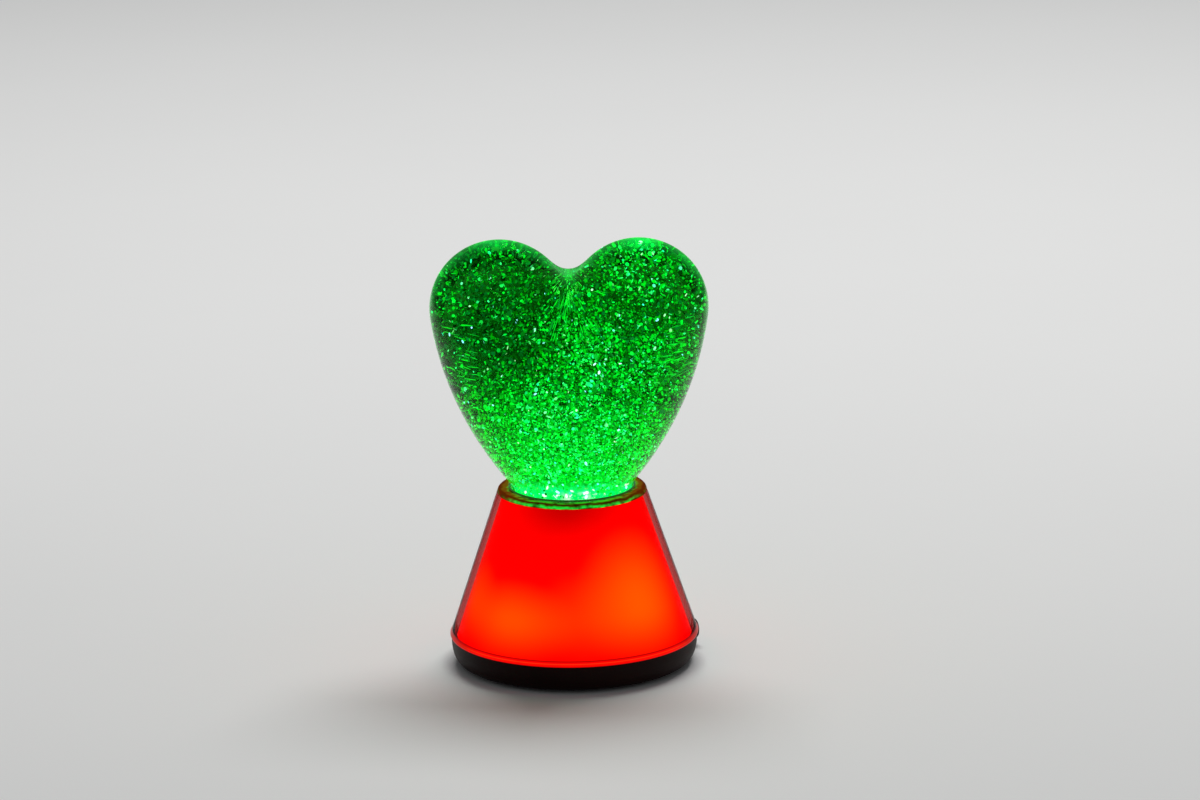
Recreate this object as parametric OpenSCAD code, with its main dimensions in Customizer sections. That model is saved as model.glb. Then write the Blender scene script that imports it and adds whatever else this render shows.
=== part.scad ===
// Heart glitter lamp: a clear heart of liquid and glitter, stirred by a magnet from below, on a cone
// base with a clear cover, a glowing diffuser and a black battery tray with a push button.
// Millimetres, +Z up, front towards -Y. The origin is on the table, under the lamp's axis.

/* [Heart vessel] */
// Width of the heart across both lobes
heart_w = 130; // [120:1:140]
// Height of the heart above the collar
heart_h = 118.5; // [110:0.5:130]
// Depth of the heart, front to back
heart_d = 74; // [66:1:90]
// Radius of a lobe, seen from the front
lobe_r = 32.6; // [29:0.2:35]
// Radius of the notch between the lobes
notch_r = 8.5; // [7:0.5:14]
// Radius of the long side curve between lobe and neck
side_r = 155; // [135:1:200]
// Height above the collar where the heart is deepest
belly_z = 46; // [36:1:56]
// How full the heart is above its deepest place: 2 makes the front an ellipse, more makes it squarer
fullness = 2.7; // [2:0.1:3.5]
// Height above the collar where the side curve would reach the neck
shoulder_z = 2; // [1.5:0.1:4]
// Radius of the fillet between neck and side
shoulder_r = 3; // [2:0.5:6]
// Wall of the vessel
vessel_wall = 2; // [1.4:0.1:3]
// Outer radius of the neck
neck_r = 28.5; // [26:0.25:30]
// Length of the neck below the collar
neck_len = 14; // [13:0.5:18]

/* [Glitter] */
// Number of flakes drawn in the liquid
flake_count = 220; // [100:10:300]
// Radius of a flake, across its corners
flake_r = 1.4; // [0.8:0.1:2]
// Thickness of a flake
flake_t = 0.25; // [0.15:0.05:0.5]

/* [Base cone] */
// Outer radius of the clear cover at its bottom edge
cover_bottom_r = 58.5; // [56:0.5:64]
// Width of the clear collar around the neck
collar_w = 6; // [5.5:0.25:9]
// Thickness of the collar
collar_t = 2; // [1.5:0.25:4]
// Height of the cover
cover_h = 71.5; // [66:0.5:82]
// Wall of the cover
cover_wall = 2.6; // [2:0.1:3]
// Radius of the collar's outer edge
collar_round = 1.8; // [0.8:0.1:2]
// Wall of the diffuser
diffuser_wall = 2; // [1.2:0.1:2.2]
// Gap between cover and diffuser
cone_gap = 0.5; // [0.3:0.1:1]

/* [Tray] */
// Height of the tray's rim above the table
tray_h = 13.5; // [13.5:0.25:18]
// Radius of the tray where its side meets its floor
tray_foot_r = 53.25; // [50:0.25:56]
// How far the tray's rim stands in from the cover's edge
rim_inset = 0.7; // [0.3:0.1:1.5]
// Height of the rim's ledge
ledge_t = 2.5; // [2:0.1:3.5]
// Wall of the tray
tray_wall = 2.2; // [1.6:0.1:2.6]
// Thickness of the tray's floor and of the battery door
floor_t = 2; // [1.6:0.1:2.6]
// Height of the lip that locates the diffuser
spigot_h = 3; // [2:0.25:5]
// How far the feet lift the tray off the table
foot_gap = 1.5; // [1:0.1:2.5]
// Radius of a foot
foot_r = 4; // [3:0.25:4.5]
// Depth of the pocket that holds a foot
foot_pocket = 0.8; // [0.5:0.1:1.2]
// Distance from the tray's foot radius in to the feet
foot_inset = 7; // [5:0.05:7.5]
// Distance from the edge of the tower's flange in to the screw posts
post_inset = 3.7; // [3:0.05:4.5]
// Radius of a screw post
post_r = 4.2; // [3.8:0.1:4.4]

/* [Battery] */
// Radius of a cell
cell_r = 5.25; // [4:0.25:7.25]
// Length of a cell with its nub
cell_len = 44.5; // [40:0.5:50.5]
// Clearance around each cell
cell_clear = 0.4; // [0.3:0.1:0.6]
// Length of a contact spring
spring_len = 6; // [5:0.5:7]
// Turns of a contact spring
spring_turns = 3.5; // [2.5:0.5:4.5]
// Wall of the battery bay
bay_wall = 1.6; // [1.2:0.1:2]
// Thickness of a contact plate
plate_t = 0.4; // [0.3:0.05:0.6]
// How far the door's lugs reach under the tray's floor
lug_reach = 2.4; // [2:0.1:2.6]
// Thickness of a lug
lug_t = 1.8; // [1.4:0.1:2.2]
// Angle that unlocks the door
door_turn = 30; // [25:1:35]

/* [Tower and drive] */
// Wall of the tower
tower_wall = 2; // [1.6:0.1:2.2]
// Thickness of the tower's foot flange
flange_t = 3; // [2.4:0.1:3.5]
// Thickness of the tower's inner ledges
inner_ledge_t = 2; // [1.6:0.1:3]
// How far the tower's socket holds the neck above the plug
socket_h = 4; // [3:0.25:5]
// Thickness of the plug's flange
plug_flange_t = 2.5; // [2:0.1:3]
// Height of the plug inside the neck
plug_h = 5; // [4.5:0.25:6]
// Radius of the seal's section
seal_r = 1; // [0.8:0.05:1.2]
// Radius of the stirrer's pin
pin_r = 1.25; // [1:0.05:1.6]
// Reach of the stirrer's paddles
stirrer_r = 20; // [17:0.5:22]
// Height of the stirrer
stirrer_h = 5; // [4.5:0.25:5.5]
// Number of paddles
paddle_count = 4; // [4:2:6]
// Radius of a drive magnet
magnet_r = 3; // [2.5:0.1:3.5]
// Height of a drive magnet
magnet_h = 3; // [2:0.1:3.25]
// Distance of the magnets from the axis
magnet_ring_r = 9; // [8.5:0.1:9.5]
// Radius of the rotor that carries the lower magnets
rotor_r = 14; // [13.5:0.1:14.5]
// Height of the rotor
rotor_h = 5; // [4.5:0.1:5.5]
// Radius of the motor
motor_r = 12.2; // [10:0.1:13]
// Height of the motor
motor_h = 12.3; // [10:0.1:16]
// Radius of the motor's shaft
shaft_r = 1; // [0.8:0.05:1.5]
// Radius of the motor's bearing boss
motor_boss_r = 3.1; // [2.8:0.1:3.6]
// Distance of the motor's screws from its axis
motor_screw_ring_r = 7.5; // [7:0.1:8]
// Thickness of the motor plate
motor_plate_t = 2; // [1.6:0.1:2.6]

/* [Lights] */
// Thickness of the circuit boards
board_t = 1.6; // [1:0.1:2]
// Radius of a light's dome
led_r = 2.5; // [1.5:0.1:2.5]
// Height of the lights that shine into the diffuser
base_led_h = 8.6; // [6:0.2:9]
// Height of the lights under the heart
heart_led_h = 4.8; // [4:0.1:5]
// Width of the board in the base
base_board_w = 10; // [8:0.25:10]
// Height of the spacers under the heart's board
spacer_h = 3; // [2.6:0.1:3.2]

/* [Switch] */
// Angle of the push button, from +X towards the back
button_angle = 22.5; // [20:0.5:26]
// Radius of the button
button_r = 4.7; // [4:0.1:4.8]
// Wall of the boss around the button
boss_wall = 1; // [0.8:0.1:1]
// How far the boss stands out from the rim
boss_out = 1.7; // [1.2:0.1:3]
// How far the button stands out from its boss
button_out = 3; // [2.6:0.1:4]
// Travel of the button
button_travel = 2; // [1:0.1:2.2]

/* [Fasteners] */
// Radius of a screw's shank
screw_r = 1.4; // [1.2:0.05:1.5]
// Radius of a screw's head
screw_head_r = 2.6; // [2.2:0.1:2.7]
// Height of a screw's head
screw_head_h = 1.8; // [1.4:0.1:2]

/* [Fits] */
// Clearance where a piece drops into another
drop_fit = 0.3; // [0.2:0.05:0.4]
// Radial clearance of a turning or sliding fit
run_fit = 0.05; // [0.03:0.01:0.1]
// Clearance between a screw and the hole that it bites
bite_fit = 0.05; // [0.02:0.01:0.1]

/* [Hidden] */
$fn = 64;
// Colours, as the lit lamp shows them
heart_green = [0.05, 0.85, 0.2, 0.45];
flake_green = [0.5, 1, 0.7];
cone_red = [1, 0.1, 0.02];
clear = [0.85, 0.9, 0.9, 0.3];
black = [0.05, 0.045, 0.045];
white = [0.92, 0.92, 0.9];
rubber = [0.12, 0.12, 0.12];
steel = [0.72, 0.72, 0.74];
nickel = [0.8, 0.79, 0.75];
board_green = [0.08, 0.35, 0.18];
cell_grey = [0.3, 0.32, 0.36];

// Resolution of the heart: sides around, rings from shoulder to notch, points per arc
heart_sides = 44;
heart_rings = 30;
arc_steps = 24;

// Cone: radii at a height, and a wall's thickness measured level
cover_top_r = neck_r + collar_w;
cone_slope = (cover_bottom_r - cover_top_r) / cover_h;
function level(wall) = wall * sqrt(1 + cone_slope * cone_slope);
function cover_r(z) = cover_bottom_r - cone_slope * (z - tray_h);
function cover_in(z) = cover_r(z) - level(cover_wall);
function diffuser_out(z) = cover_in(z) - level(cone_gap);
function diffuser_in(z) = diffuser_out(z) - level(diffuser_wall);

// Heights, from the table up
floor_top = foot_gap + floor_t;
lug_z = floor_top + drop_fit;
lug_top = lug_z + lug_t;
bay_z = lug_top + drop_fit;
cell_z = floor_top + cell_clear + cell_r;
flange_z = cell_z + cell_r + cell_clear + bay_wall;
flange_top = flange_z + flange_t;
collar_z = tray_h + cover_h;
neck_z = collar_z - neck_len;
plug_z = neck_z - plug_flange_t;
plug_top = neck_z + plug_h;
stirrer_z = plug_top + drop_fit;
stirrer_top = stirrer_z + stirrer_h;
clip_t = 0.8;
pin_top = stirrer_top + drop_fit + clip_t;
liquid_z = pin_top + drop_fit;
rotor_gap = 1;
rotor_z = plug_z - rotor_gap - rotor_h;
rotor_lift = 4.5;
motor_plate_top = rotor_z - rotor_lift;
motor_top = motor_plate_top - motor_plate_t;
heart_board_z = motor_plate_top + spacer_h;

// Tray and door
rim_r = cover_bottom_r - rim_inset;
ledge_z = tray_h - ledge_t;
spigot_out = diffuser_in(tray_h + spigot_h) - drop_fit;
spigot_wall = 1.8;
flange_r = spigot_out - spigot_wall - drop_fit;
post_ring_r = flange_r - post_inset;
foot_ring_r = tray_foot_r - foot_inset;
cell_pitch = 2 * (cell_r + cell_clear);
cell_count = 3;
bay_in_x = cell_count * cell_pitch / 2;
bay_in_y = (cell_len + spring_len + 2 * plate_t) / 2 + drop_fit;
opening_r = norm([bay_in_x, bay_in_y]) + drop_fit;
door_r = opening_r - drop_fit;
lug_root = 1.6;
lug_r = opening_r + lug_reach;
lug_count = 3;
lug_angle = 22;

// Tower
tower_in = neck_r + drop_fit;
tower_r = tower_in + tower_wall;
plug_ledge_w = 3.8;
motor_ledge_w = 9;
motor_plate_r = tower_in - plug_ledge_w - drop_fit;
plate_head_r = 2;
plate_screw_ring_r = motor_plate_r - plate_head_r - drop_fit;
base_board_in = tower_r + 2 * drop_fit;
base_led_ring_r = base_board_in + base_board_w / 2;
rotor_room = 1.5;
heart_led_ring_r = rotor_r + rotor_room + led_r;
heart_board_in = heart_led_ring_r - led_r;
heart_board_out = heart_led_ring_r + led_r;

// Switch
button_z = (foot_gap + tray_h) / 2;
boss_r = button_r + run_fit + boss_wall;
boss_end = rim_r + boss_out;
button_end = boss_end + button_out;
switch_depth = 9;
switch_w = 11;
switch_room_r = tray_foot_r - tray_wall - drop_fit;
switch_end = sqrt(switch_room_r * switch_room_r - switch_w * switch_w / 4);
switch_back = switch_end - switch_depth;
switch_top = ledge_z - drop_fit;
stem_r = 2;
button_back = switch_end + button_travel + drop_fit;

// Points on an arc about c, from angle a0 to a1
function arc(c, r, a0, a1, n = arc_steps) =
  [for (i = [0:n]) let (a = a0 + (a1 - a0) * i / n) c + r * [cos(a), sin(a)]];

// Where circles about p and q meet, on the left of the way from p to q seen from behind
function meet(p, rp, q, rq) =
  let (
    d = norm(q - p),
    e = (q - p) / d,
    along = (rp * rp - rq * rq + d * d) / (2 * d)
  ) p + along * e + sqrt(rp * rp - along * along) * [e.y, -e.x];

// Distance along a polyline at each of its points
function run(p) =
  [for (i = 0, s = 0; i < len(p); s = s + (i + 1 < len(p) ? norm(p[i + 1] - p[i]) : 0), i = i + 1) s];

// A polyline of n + 1 points at even distances along p
function even(p, n) =
  let (
    s = run(p),
    all = s[len(p) - 1],
    x = [for (i = [0:len(p) - 1]) [s[i], p[i].x]],
    y = [for (i = [0:len(p) - 1]) [s[i], p[i].y]]
  ) [for (k = [0:n]) [lookup(all * k / n, x), lookup(all * k / n, y)]];

// Heart outline, as [distance from the axis, height above the collar]. Tangent arcs make its side:
// fillet at the shoulder, long side, lobe, and notch.
lobe_c = [heart_w / 2 - lobe_r, heart_h - lobe_r];
side_c = meet(lobe_c, side_r - lobe_r, [neck_r, shoulder_z], side_r);
notch_c = [0, lobe_c.y + sqrt(pow(lobe_r + notch_r, 2) - pow(lobe_c.x, 2))];
fillet_x = neck_r + shoulder_r;
fillet_c = [fillet_x, side_c.y - sqrt(pow(side_r + shoulder_r, 2) - pow(fillet_x - side_c.x, 2))];
shoulder_a = atan2(fillet_c.y - side_c.y, fillet_c.x - side_c.x);
lobe_a = atan2(lobe_c.y - side_c.y, lobe_c.x - side_c.x);
notch_a = atan2(notch_c.y - lobe_c.y, notch_c.x - lobe_c.x);
notch_z = notch_c.y - notch_r;

function side_line(inset) = concat(
  arc(fillet_c, shoulder_r + inset, 180, 180 + shoulder_a),
  arc(side_c, side_r - inset, shoulder_a, lobe_a),
  arc(lobe_c, lobe_r - inset, lobe_a, notch_a),
  arc(notch_c, notch_r + inset, notch_a - 180, -90)
);

// Middle of the front: swells from the neck to the belly, then a full ellipse over to the notch
function front_line(inset) =
  let (neck = neck_r - inset, belly = heart_d / 2 - inset, top = notch_z - inset) concat(
    [for (i = [0:arc_steps]) let (t = i / arc_steps)
      [neck + (belly - neck) * (1 - cos(180 * t)) / 2, fillet_c.y + (belly_z - fillet_c.y) * t]],
    [for (i = [0:arc_steps]) let (a = 90 * i / arc_steps)
      [belly * pow(cos(a), 2 / fullness), belly_z + (top - belly_z) * pow(sin(a), 2 / fullness)]]
  );

// One ring of the heart, blended from its side and front outlines
function heart_ring(side, front) = [
  for (i = [0:heart_sides - 1]) let (u = 360 * i / heart_sides, c = cos(u), s = sin(u))
    [side.x * c, front.x * s, collar_z + side.y * c * c + front.y * s * s]
];

// All points of a heart surface: a level ring at height z, the rings above the neck, the notch point
function heart_points(inset, z) =
  let (
    side = even(side_line(inset), heart_rings),
    front = even(front_line(inset), heart_rings),
    foot = [neck_r - inset, z - collar_z]
  ) concat(
    heart_ring(foot, foot),
    [for (k = [0:heart_rings - 1]) each heart_ring(side[k], front[k])],
    [[0, 0, collar_z + notch_z - inset]]
  );

// Faces of stacked rings of n points that close in a point, wound clockwise from outside
function stack_faces(rings, n, first = 0) = concat(
  [for (k = [0:rings - 2], i = [0:n - 1])
    let (a = first + k * n + i, b = first + k * n + (i + 1) % n) each [[a, a + n, b + n], [a, b + n, b]]],
  [for (i = [0:n - 1]) let (last = first + (rings - 1) * n)
    [last + i, first + rings * n, last + (i + 1) % n]]
);

function turned(faces) = [for (f = faces) [f[0], f[2], f[1]]];

heart_stack = heart_rings + 1;
heart_size = heart_stack * heart_sides + 1;

module heart_vessel() color(clear) {
  outer = heart_points(0, neck_z);
  inner = heart_points(vessel_wall, neck_z);
  lip = [for (i = [0:heart_sides - 1]) let (j = (i + 1) % heart_sides)
    each [[i, j, heart_size + j], [i, heart_size + j, heart_size + i]]];
  polyhedron(
    concat(outer, inner),
    concat(
      stack_faces(heart_stack, heart_sides),
      turned(stack_faces(heart_stack, heart_sides, heart_size)),
      lip
    )
  );
}

liquid_gap = 0.2;

module glitter_liquid() color(heart_green) polyhedron(
  heart_points(vessel_wall + liquid_gap, liquid_z),
  concat([[for (i = [0:heart_sides - 1]) i]], stack_faces(heart_stack, heart_sides))
);

// Flakes spread by steps of irrational numbers: a direction from the heart's middle, and a distance
function part_of(x) = x - floor(x);
flake_middle = [0, 0, collar_z + belly_z];
flake_margin = vessel_wall + 2 * flake_r;

module glitter_flakes() color(flake_green) {
  surface_points = heart_points(flake_margin, liquid_z + flake_r);
  for (i = [1:flake_count]) {
    k = floor(part_of(i * 0.7548777) * len(surface_points));
    reach = pow(part_of(i * 0.5698403), 1 / 3);
    place = flake_middle + reach * (surface_points[k] - flake_middle);
    translate(place)
      rotate([360 * part_of(i * 0.618034), 360 * part_of(i * 0.414214), 0])
        cylinder(h = flake_t, r = flake_r, center = true, $fn = 6);
  }
}

// A tube wall or a disc with a hole
module ring(r_out, r_in, z0, z1) {
  difference() {
    translate([0, 0, z0]) cylinder(r = r_out, h = z1 - z0);
    translate([0, 0, z0 - 1]) cylinder(r = r_in, h = z1 - z0 + 2);
  }
}

module around(count, r, start = 0) {
  for (i = [0:count - 1]) rotate(start + 360 * i / count) translate([r, 0, 0]) children();
}

module rod(r, z0, z1) {
  translate([0, 0, z0]) cylinder(r = r, h = z1 - z0);
}

// Base

module foot_pads() color(rubber) around(4, foot_ring_r, 45) {
  chamfer = 0.5;
  cylinder(r1 = foot_r - chamfer, r2 = foot_r, h = chamfer);
  translate([0, 0, chamfer]) cylinder(r = foot_r, h = foot_gap + foot_pocket - chamfer);
}

// Turns a part that points along +X to the button's place
module at_button() {
  rotate(button_angle) translate([0, 0, button_z]) rotate([0, 90, 0]) children();
}

module tray_shape() {
  steps = 8;
  side_in = [for (i = [steps:-1:0]) let (a = 90 * i / steps)
    [tray_foot_r - tray_wall + (rim_r - tray_foot_r) * sin(a),
     floor_top + (ledge_z - floor_top) * (1 - cos(a))]];
  side_out = [for (i = [0:steps]) let (a = 90 * i / steps)
    [tray_foot_r + (rim_r - tray_foot_r) * sin(a), foot_gap + (ledge_z - foot_gap) * (1 - cos(a))]];
  spigot_top = tray_h + spigot_h;
  rotate_extrude() polygon(concat(
    [[opening_r, foot_gap]],
    side_out,
    [[rim_r, tray_h], [spigot_out, tray_h], [spigot_out, spigot_top],
     [spigot_out - spigot_wall, spigot_top], [spigot_out - spigot_wall, ledge_z]],
    side_in,
    [[opening_r, floor_top]]
  ));
}

head_sink = 0.5;
head_seat = floor_top + head_sink;
screw_tip = 0.5;

module tray() color(black) difference() {
  union() {
    tray_shape();
    around(4, post_ring_r) rod(post_r, foot_gap, flange_z);
    at_button() rod(boss_r, switch_end, boss_end);
  }
  around(4, post_ring_r) {
    rod(screw_r + drop_fit, foot_gap - 1, flange_z + 1);
    rod(screw_head_r + drop_fit, foot_gap - 1, head_seat);
  }
  around(4, foot_ring_r, 45) rod(foot_r + bite_fit, foot_gap - 1, foot_gap + foot_pocket);
  at_button() rod(button_r + run_fit, switch_end - drop_fit, boss_end + 1);
  around(lug_count, 0, door_turn) lug_way();
}

// A sector of a turned profile, widened at each end by the angle that room takes at the lugs
module lug_sector(profile, room) {
  extra = room * 180 / (PI * lug_r);
  rotate(-lug_angle / 2 - extra) rotate_extrude(angle = lug_angle + 2 * extra) polygon(profile);
}

// The way through the tray's floor for a lug, when the door is unlocked
module lug_way() {
  in = opening_r - lug_reach;
  out = lug_r + drop_fit;
  low = foot_gap - 1;
  high = floor_top + 1;
  lug_sector([[in, low], [out, low], [out, high], [in, high]], drop_fit);
}

slot_w = 3;
slot_len = 24;

module battery_door() color(black) {
  difference() {
    rod(door_r, foot_gap, floor_top);
    translate([-slot_len / 2, -slot_w / 2, foot_gap - 1]) cube([slot_len, slot_w, floor_t / 2 + 1]);
    around(2, slot_len / 2) rod(slot_w, foot_gap - 1, foot_gap + floor_t / 2);
  }
  root = floor_top - floor_t / 4;
  out = door_r - drop_fit;
  in = out - lug_root;
  around(lug_count, 0) lug_sector([
    [in, root], [out, root], [out, lug_z], [lug_r, lug_z], [lug_r, lug_top], [in, lug_top]
  ], 0);
}

// Battery bay, its cells and contacts. The cells lie along Y and alternate.

module bay_box(x, y, z0, z1) {
  translate([-x, -y, z0]) cube([2 * x, 2 * y, z1 - z0]);
}

rib_w = 1.2;
rib_h = 3;

module battery_bay() color(black) {
  ceiling = flange_z - bay_wall;
  difference() {
    bay_box(bay_in_x + bay_wall, bay_in_y + bay_wall, bay_z, flange_z);
    bay_box(bay_in_x, bay_in_y, bay_z - 1, ceiling);
  }
  for (i = [1:cell_count - 1])
    translate([(i - cell_count / 2) * cell_pitch - rib_w / 2, -bay_in_y, ceiling - rib_h])
      cube([rib_w, 2 * bay_in_y, rib_h]);
}

// Places a part at each cell, with +Y towards that cell's positive end
module at_cells() {
  for (i = [0:cell_count - 1])
    translate([(i - (cell_count - 1) / 2) * cell_pitch, 0, cell_z]) rotate(180 * i) children();
}

// Along a cell's own Y: plate face, then the cell from its nub back to its base
plate_y = bay_in_y - plate_t;
touch = 0.05;
nub_y = plate_y - touch;
cell_base_y = nub_y - cell_len;
nub_r = 1.9;
nub_h = 1;

module battery_cells() color(cell_grey) at_cells() rotate([-90, 0, 0]) {
  rod(cell_r, cell_base_y, nub_y - nub_h);
  rod(nub_r, nub_y - nub_h, nub_y);
}

plate_w = 2 * (cell_z - bay_z);

module contact_plates() color(nickel) at_cells() {
  for (side = [1, -1])
    translate([-plate_w / 2, side > 0 ? plate_y : -bay_in_y, -plate_w / 2])
      cube([plate_w, plate_t, plate_w]);
}

// Tubes along a path: a ring of points at each path point, carried along without twisting

function unit(v) = v / norm(v);
function across(v, t) = unit(v - (v * t) * t);
function headings(p) =
  [for (i = [0:len(p) - 1]) unit(p[min(i + 1, len(p) - 1)] - p[max(i - 1, 0)])];
function carried(t, start) =
  [for (i = 0, n = across(start, t[0]); i < len(t);
        i = i + 1, n = i < len(t) ? across(n, t[i]) : n) n];

module tube(path, r, start, sides = 8) {
  t = headings(path);
  n = carried(t, start);
  last = len(path) - 1;
  points = [for (k = [0:last]) let (b = cross(t[k], n[k])) for (i = [0:sides - 1])
    let (a = 360 * i / sides) path[k] + r * (cos(a) * n[k] + sin(a) * b)];
  polyhedron(points, concat(
    [[for (i = [0:sides - 1]) i]],
    [for (k = [0:last - 1], i = [0:sides - 1])
      let (a = k * sides + i, b = k * sides + (i + 1) % sides)
        each [[a, a + sides, b + sides], [a, b + sides, b]]],
    [[for (i = [sides - 1:-1:0]) last * sides + i]]
  ));
}

// A contact spring narrows from the plate to the cell
spring_wire_r = 0.35;
spring_wide_r = plate_w / 2 - spring_wire_r;
spring_tip_r = 1.8;
spring_steps = 10;

module contact_springs() color(nickel) at_cells() {
  y0 = -bay_in_y + plate_t + spring_wire_r + touch;
  y1 = cell_base_y - spring_wire_r - touch;
  count = spring_turns * spring_steps;
  path = [for (i = [0:count]) let (s = i / count, a = 360 * spring_turns * s,
    r = spring_wide_r + (spring_tip_r - spring_wide_r) * s) [r * cos(a), y0 + (y1 - y0) * s, r * sin(a)]];
  tube(path, spring_wire_r, [1, 0, 0], 6);
}

// Tower, which stands on the tray's posts and carries the vessel, the drive and the lights

wire_hole_r = 2;
wire_slot_w = 5;
wire_hole_x = tower_in - motor_ledge_w / 2;

module wire_slot(z0, z1) {
  rotate(button_angle) translate([post_ring_r - wire_slot_w, -wire_slot_w / 2, z0 - 1])
    cube([wire_slot_w * 2, wire_slot_w, z1 - z0 + 2]);
}

module tower() color(white) difference() {
  union() {
    ring(flange_r, tower_in, flange_z, flange_top);
    ring(tower_r, tower_in, flange_z, plug_z + plug_flange_t + socket_h);
    ring(tower_in + tower_wall / 2, tower_in - plug_ledge_w, plug_z - inner_ledge_t, plug_z);
    ring(tower_in + tower_wall / 2, tower_in - motor_ledge_w, motor_top - inner_ledge_t, motor_top);
  }
  around(4, post_ring_r) rod(screw_r + bite_fit, flange_z - 1, flange_top + 1);
  around(3, plate_screw_ring_r, 90) rod(screw_r + bite_fit, motor_top - inner_ledge_t - 1, motor_top + 1);
  // Ways for the wires: a slot in the flange, a hole in the wall, and a hole in the motor's ledge
  wire_slot(flange_z, flange_top);
  rotate(button_angle) translate([tower_in - 2, 0, wire_hole_z])
    rotate([0, 90, 0]) cylinder(r = wire_hole_r, h = tower_wall + 4);
  rotate(button_angle) translate([wire_hole_x, 0, 0])
    rod(wire_hole_r, motor_top - inner_ledge_t - 1, motor_top + 1);
}

module base_board() color(board_green) difference() {
  ring(base_board_in + base_board_w, base_board_in, flange_top, flange_top + board_t);
  wire_slot(flange_top, flange_top + board_t);
}

// A light: a flange, a barrel and a dome
module led(z, h) {
  rim = 0.4;
  translate([0, 0, z]) {
    cylinder(r = led_r + rim, h = 1);
    cylinder(r = led_r, h = h - led_r);
    translate([0, 0, h - led_r]) difference() {
      sphere(r = led_r);
      translate([0, 0, -2 * led_r]) cube(4 * led_r, center = true);
    }
  }
}

module base_leds() color(cone_red)
  around(4, base_led_ring_r, 45) led(flange_top + board_t, base_led_h);

module heart_leds() color(flake_green)
  around(3, heart_led_ring_r) led(heart_board_z + board_t, heart_led_h);

module heart_board() color(board_green)
  ring(heart_board_out, heart_board_in, heart_board_z, heart_board_z + board_t);

spacer_r = 2;

module motor_plate() color(white) difference() {
  union() {
    rod(motor_plate_r, motor_top, motor_plate_top);
    around(3, heart_led_ring_r, 60) rod(spacer_r, motor_plate_top, heart_board_z);
  }
  rod(motor_boss_r + drop_fit, motor_top - 1, motor_plate_top + 1);
  around(3, plate_screw_ring_r, 90) rod(screw_r + drop_fit, motor_top - 1, motor_plate_top + 1);
  around(2, motor_screw_ring_r) rod(motor_screw_r + drop_fit, motor_top - 1, motor_plate_top + 1);
  rotate(button_angle) translate([wire_hole_x, 0, 0])
    rod(wire_hole_r, motor_top - 1, motor_plate_top + 1);
}

motor_screw_r = 1;
motor_screw_depth = 3;
shaft_depth = 6;

module motor() color(steel) difference() {
  union() {
    rod(motor_r, motor_top - motor_h, motor_top);
    rod(motor_boss_r, motor_top, motor_plate_top - drop_fit);
  }
  rod(shaft_r + run_fit, motor_top - shaft_depth, motor_plate_top);
  around(2, motor_screw_ring_r) rod(motor_screw_r + bite_fit, motor_top - motor_screw_depth, motor_top + 1);
}

rotor_top = rotor_z + rotor_h;
shaft_top = rotor_top - 1;

module motor_shaft() color(steel) rod(shaft_r, motor_top - shaft_depth + drop_fit, shaft_top);

module rotor() color(black) difference() {
  rod(rotor_r, rotor_z, rotor_top);
  rod(shaft_r, rotor_z - 1, shaft_top);
  around(2, magnet_ring_r) rod(magnet_r + bite_fit, rotor_top - magnet_h, rotor_top + 1);
}

module rotor_magnets() color(nickel)
  around(2, magnet_ring_r) rod(magnet_r, rotor_top - magnet_h, rotor_top);

// Plug, seal and stirrer, in the neck of the vessel

neck_in = (neck_r - vessel_wall) * cos(180 / heart_sides);
plug_r = neck_in - drop_fit;
pin_seat = 3;

module plug() color(clear) difference() {
  union() {
    rod(neck_r, plug_z, neck_z);
    rod(plug_r, neck_z, plug_top);
  }
  rod(pin_r, plug_top - pin_seat, plug_top + 1);
  seal_groove();
}

seal_z = neck_z + plug_h / 2;
seal_ring_r = neck_in - touch - seal_r;

module seal_groove() rotate_extrude()
  translate([seal_ring_r - seal_r - touch, seal_z - seal_r - touch])
    square([plug_r, 2 * (seal_r + touch)]);

module plug_seal() color(rubber) rotate_extrude() translate([seal_ring_r, seal_z]) circle(r = seal_r);

module stirrer_pin() color(steel) rod(pin_r, plug_top - pin_seat, pin_top);

clip_w = 1.6;

module stirrer_clip() color(steel) ring(pin_r + clip_w, pin_r, pin_top - clip_t, pin_top);

hub_wall = 2.2;
paddle_t = 1.6;
pod_wall = 1;
pod_floor = 1;

module stirrer() color(white) difference() {
  union() {
    rod(pin_r + run_fit + hub_wall, stirrer_z, stirrer_top);
    for (i = [0:paddle_count - 1]) rotate(360 * i / paddle_count)
      translate([0, -paddle_t / 2, stirrer_z]) cube([stirrer_r, paddle_t, stirrer_h]);
    around(2, magnet_ring_r) rod(magnet_r + pod_wall, stirrer_z, stirrer_z + pod_floor + magnet_h);
  }
  rod(pin_r + run_fit, stirrer_z - 1, stirrer_top + 1);
  around(2, magnet_ring_r) rod(magnet_r + bite_fit, stirrer_z + pod_floor, stirrer_top + 1);
}

module stirrer_magnets() color(nickel)
  around(2, magnet_ring_r) rod(magnet_r, stirrer_z + pod_floor, stirrer_z + pod_floor + magnet_h);

// Cone

gasket_r = 0.5;

module neck_gasket() color(clear) rotate_extrude()
  translate([neck_r + gasket_r + drop_fit, collar_z + gasket_r]) circle(r = gasket_r);

module clear_cover() color(clear) {
  under = collar_z - collar_t;
  lean = atan(cone_slope);
  corner = [cover_top_r - collar_round * (1 - sin(lean)) / cos(lean), collar_z - collar_round];
  rotate_extrude() polygon(concat(
    [[cover_in(tray_h), tray_h], [cover_bottom_r, tray_h]],
    arc(corner, collar_round, lean, 90, 10),
    [[neck_r + drop_fit, collar_z], [neck_r + drop_fit, under], [cover_in(under), under]]
  ));
}

module diffuser() color(cone_red) {
  top = collar_z - collar_t - drop_fit;
  rotate_extrude() polygon([
    [diffuser_in(tray_h), tray_h], [diffuser_out(tray_h), tray_h],
    [diffuser_out(top), top], [diffuser_in(top), top]
  ]);
}

// Switch

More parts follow.
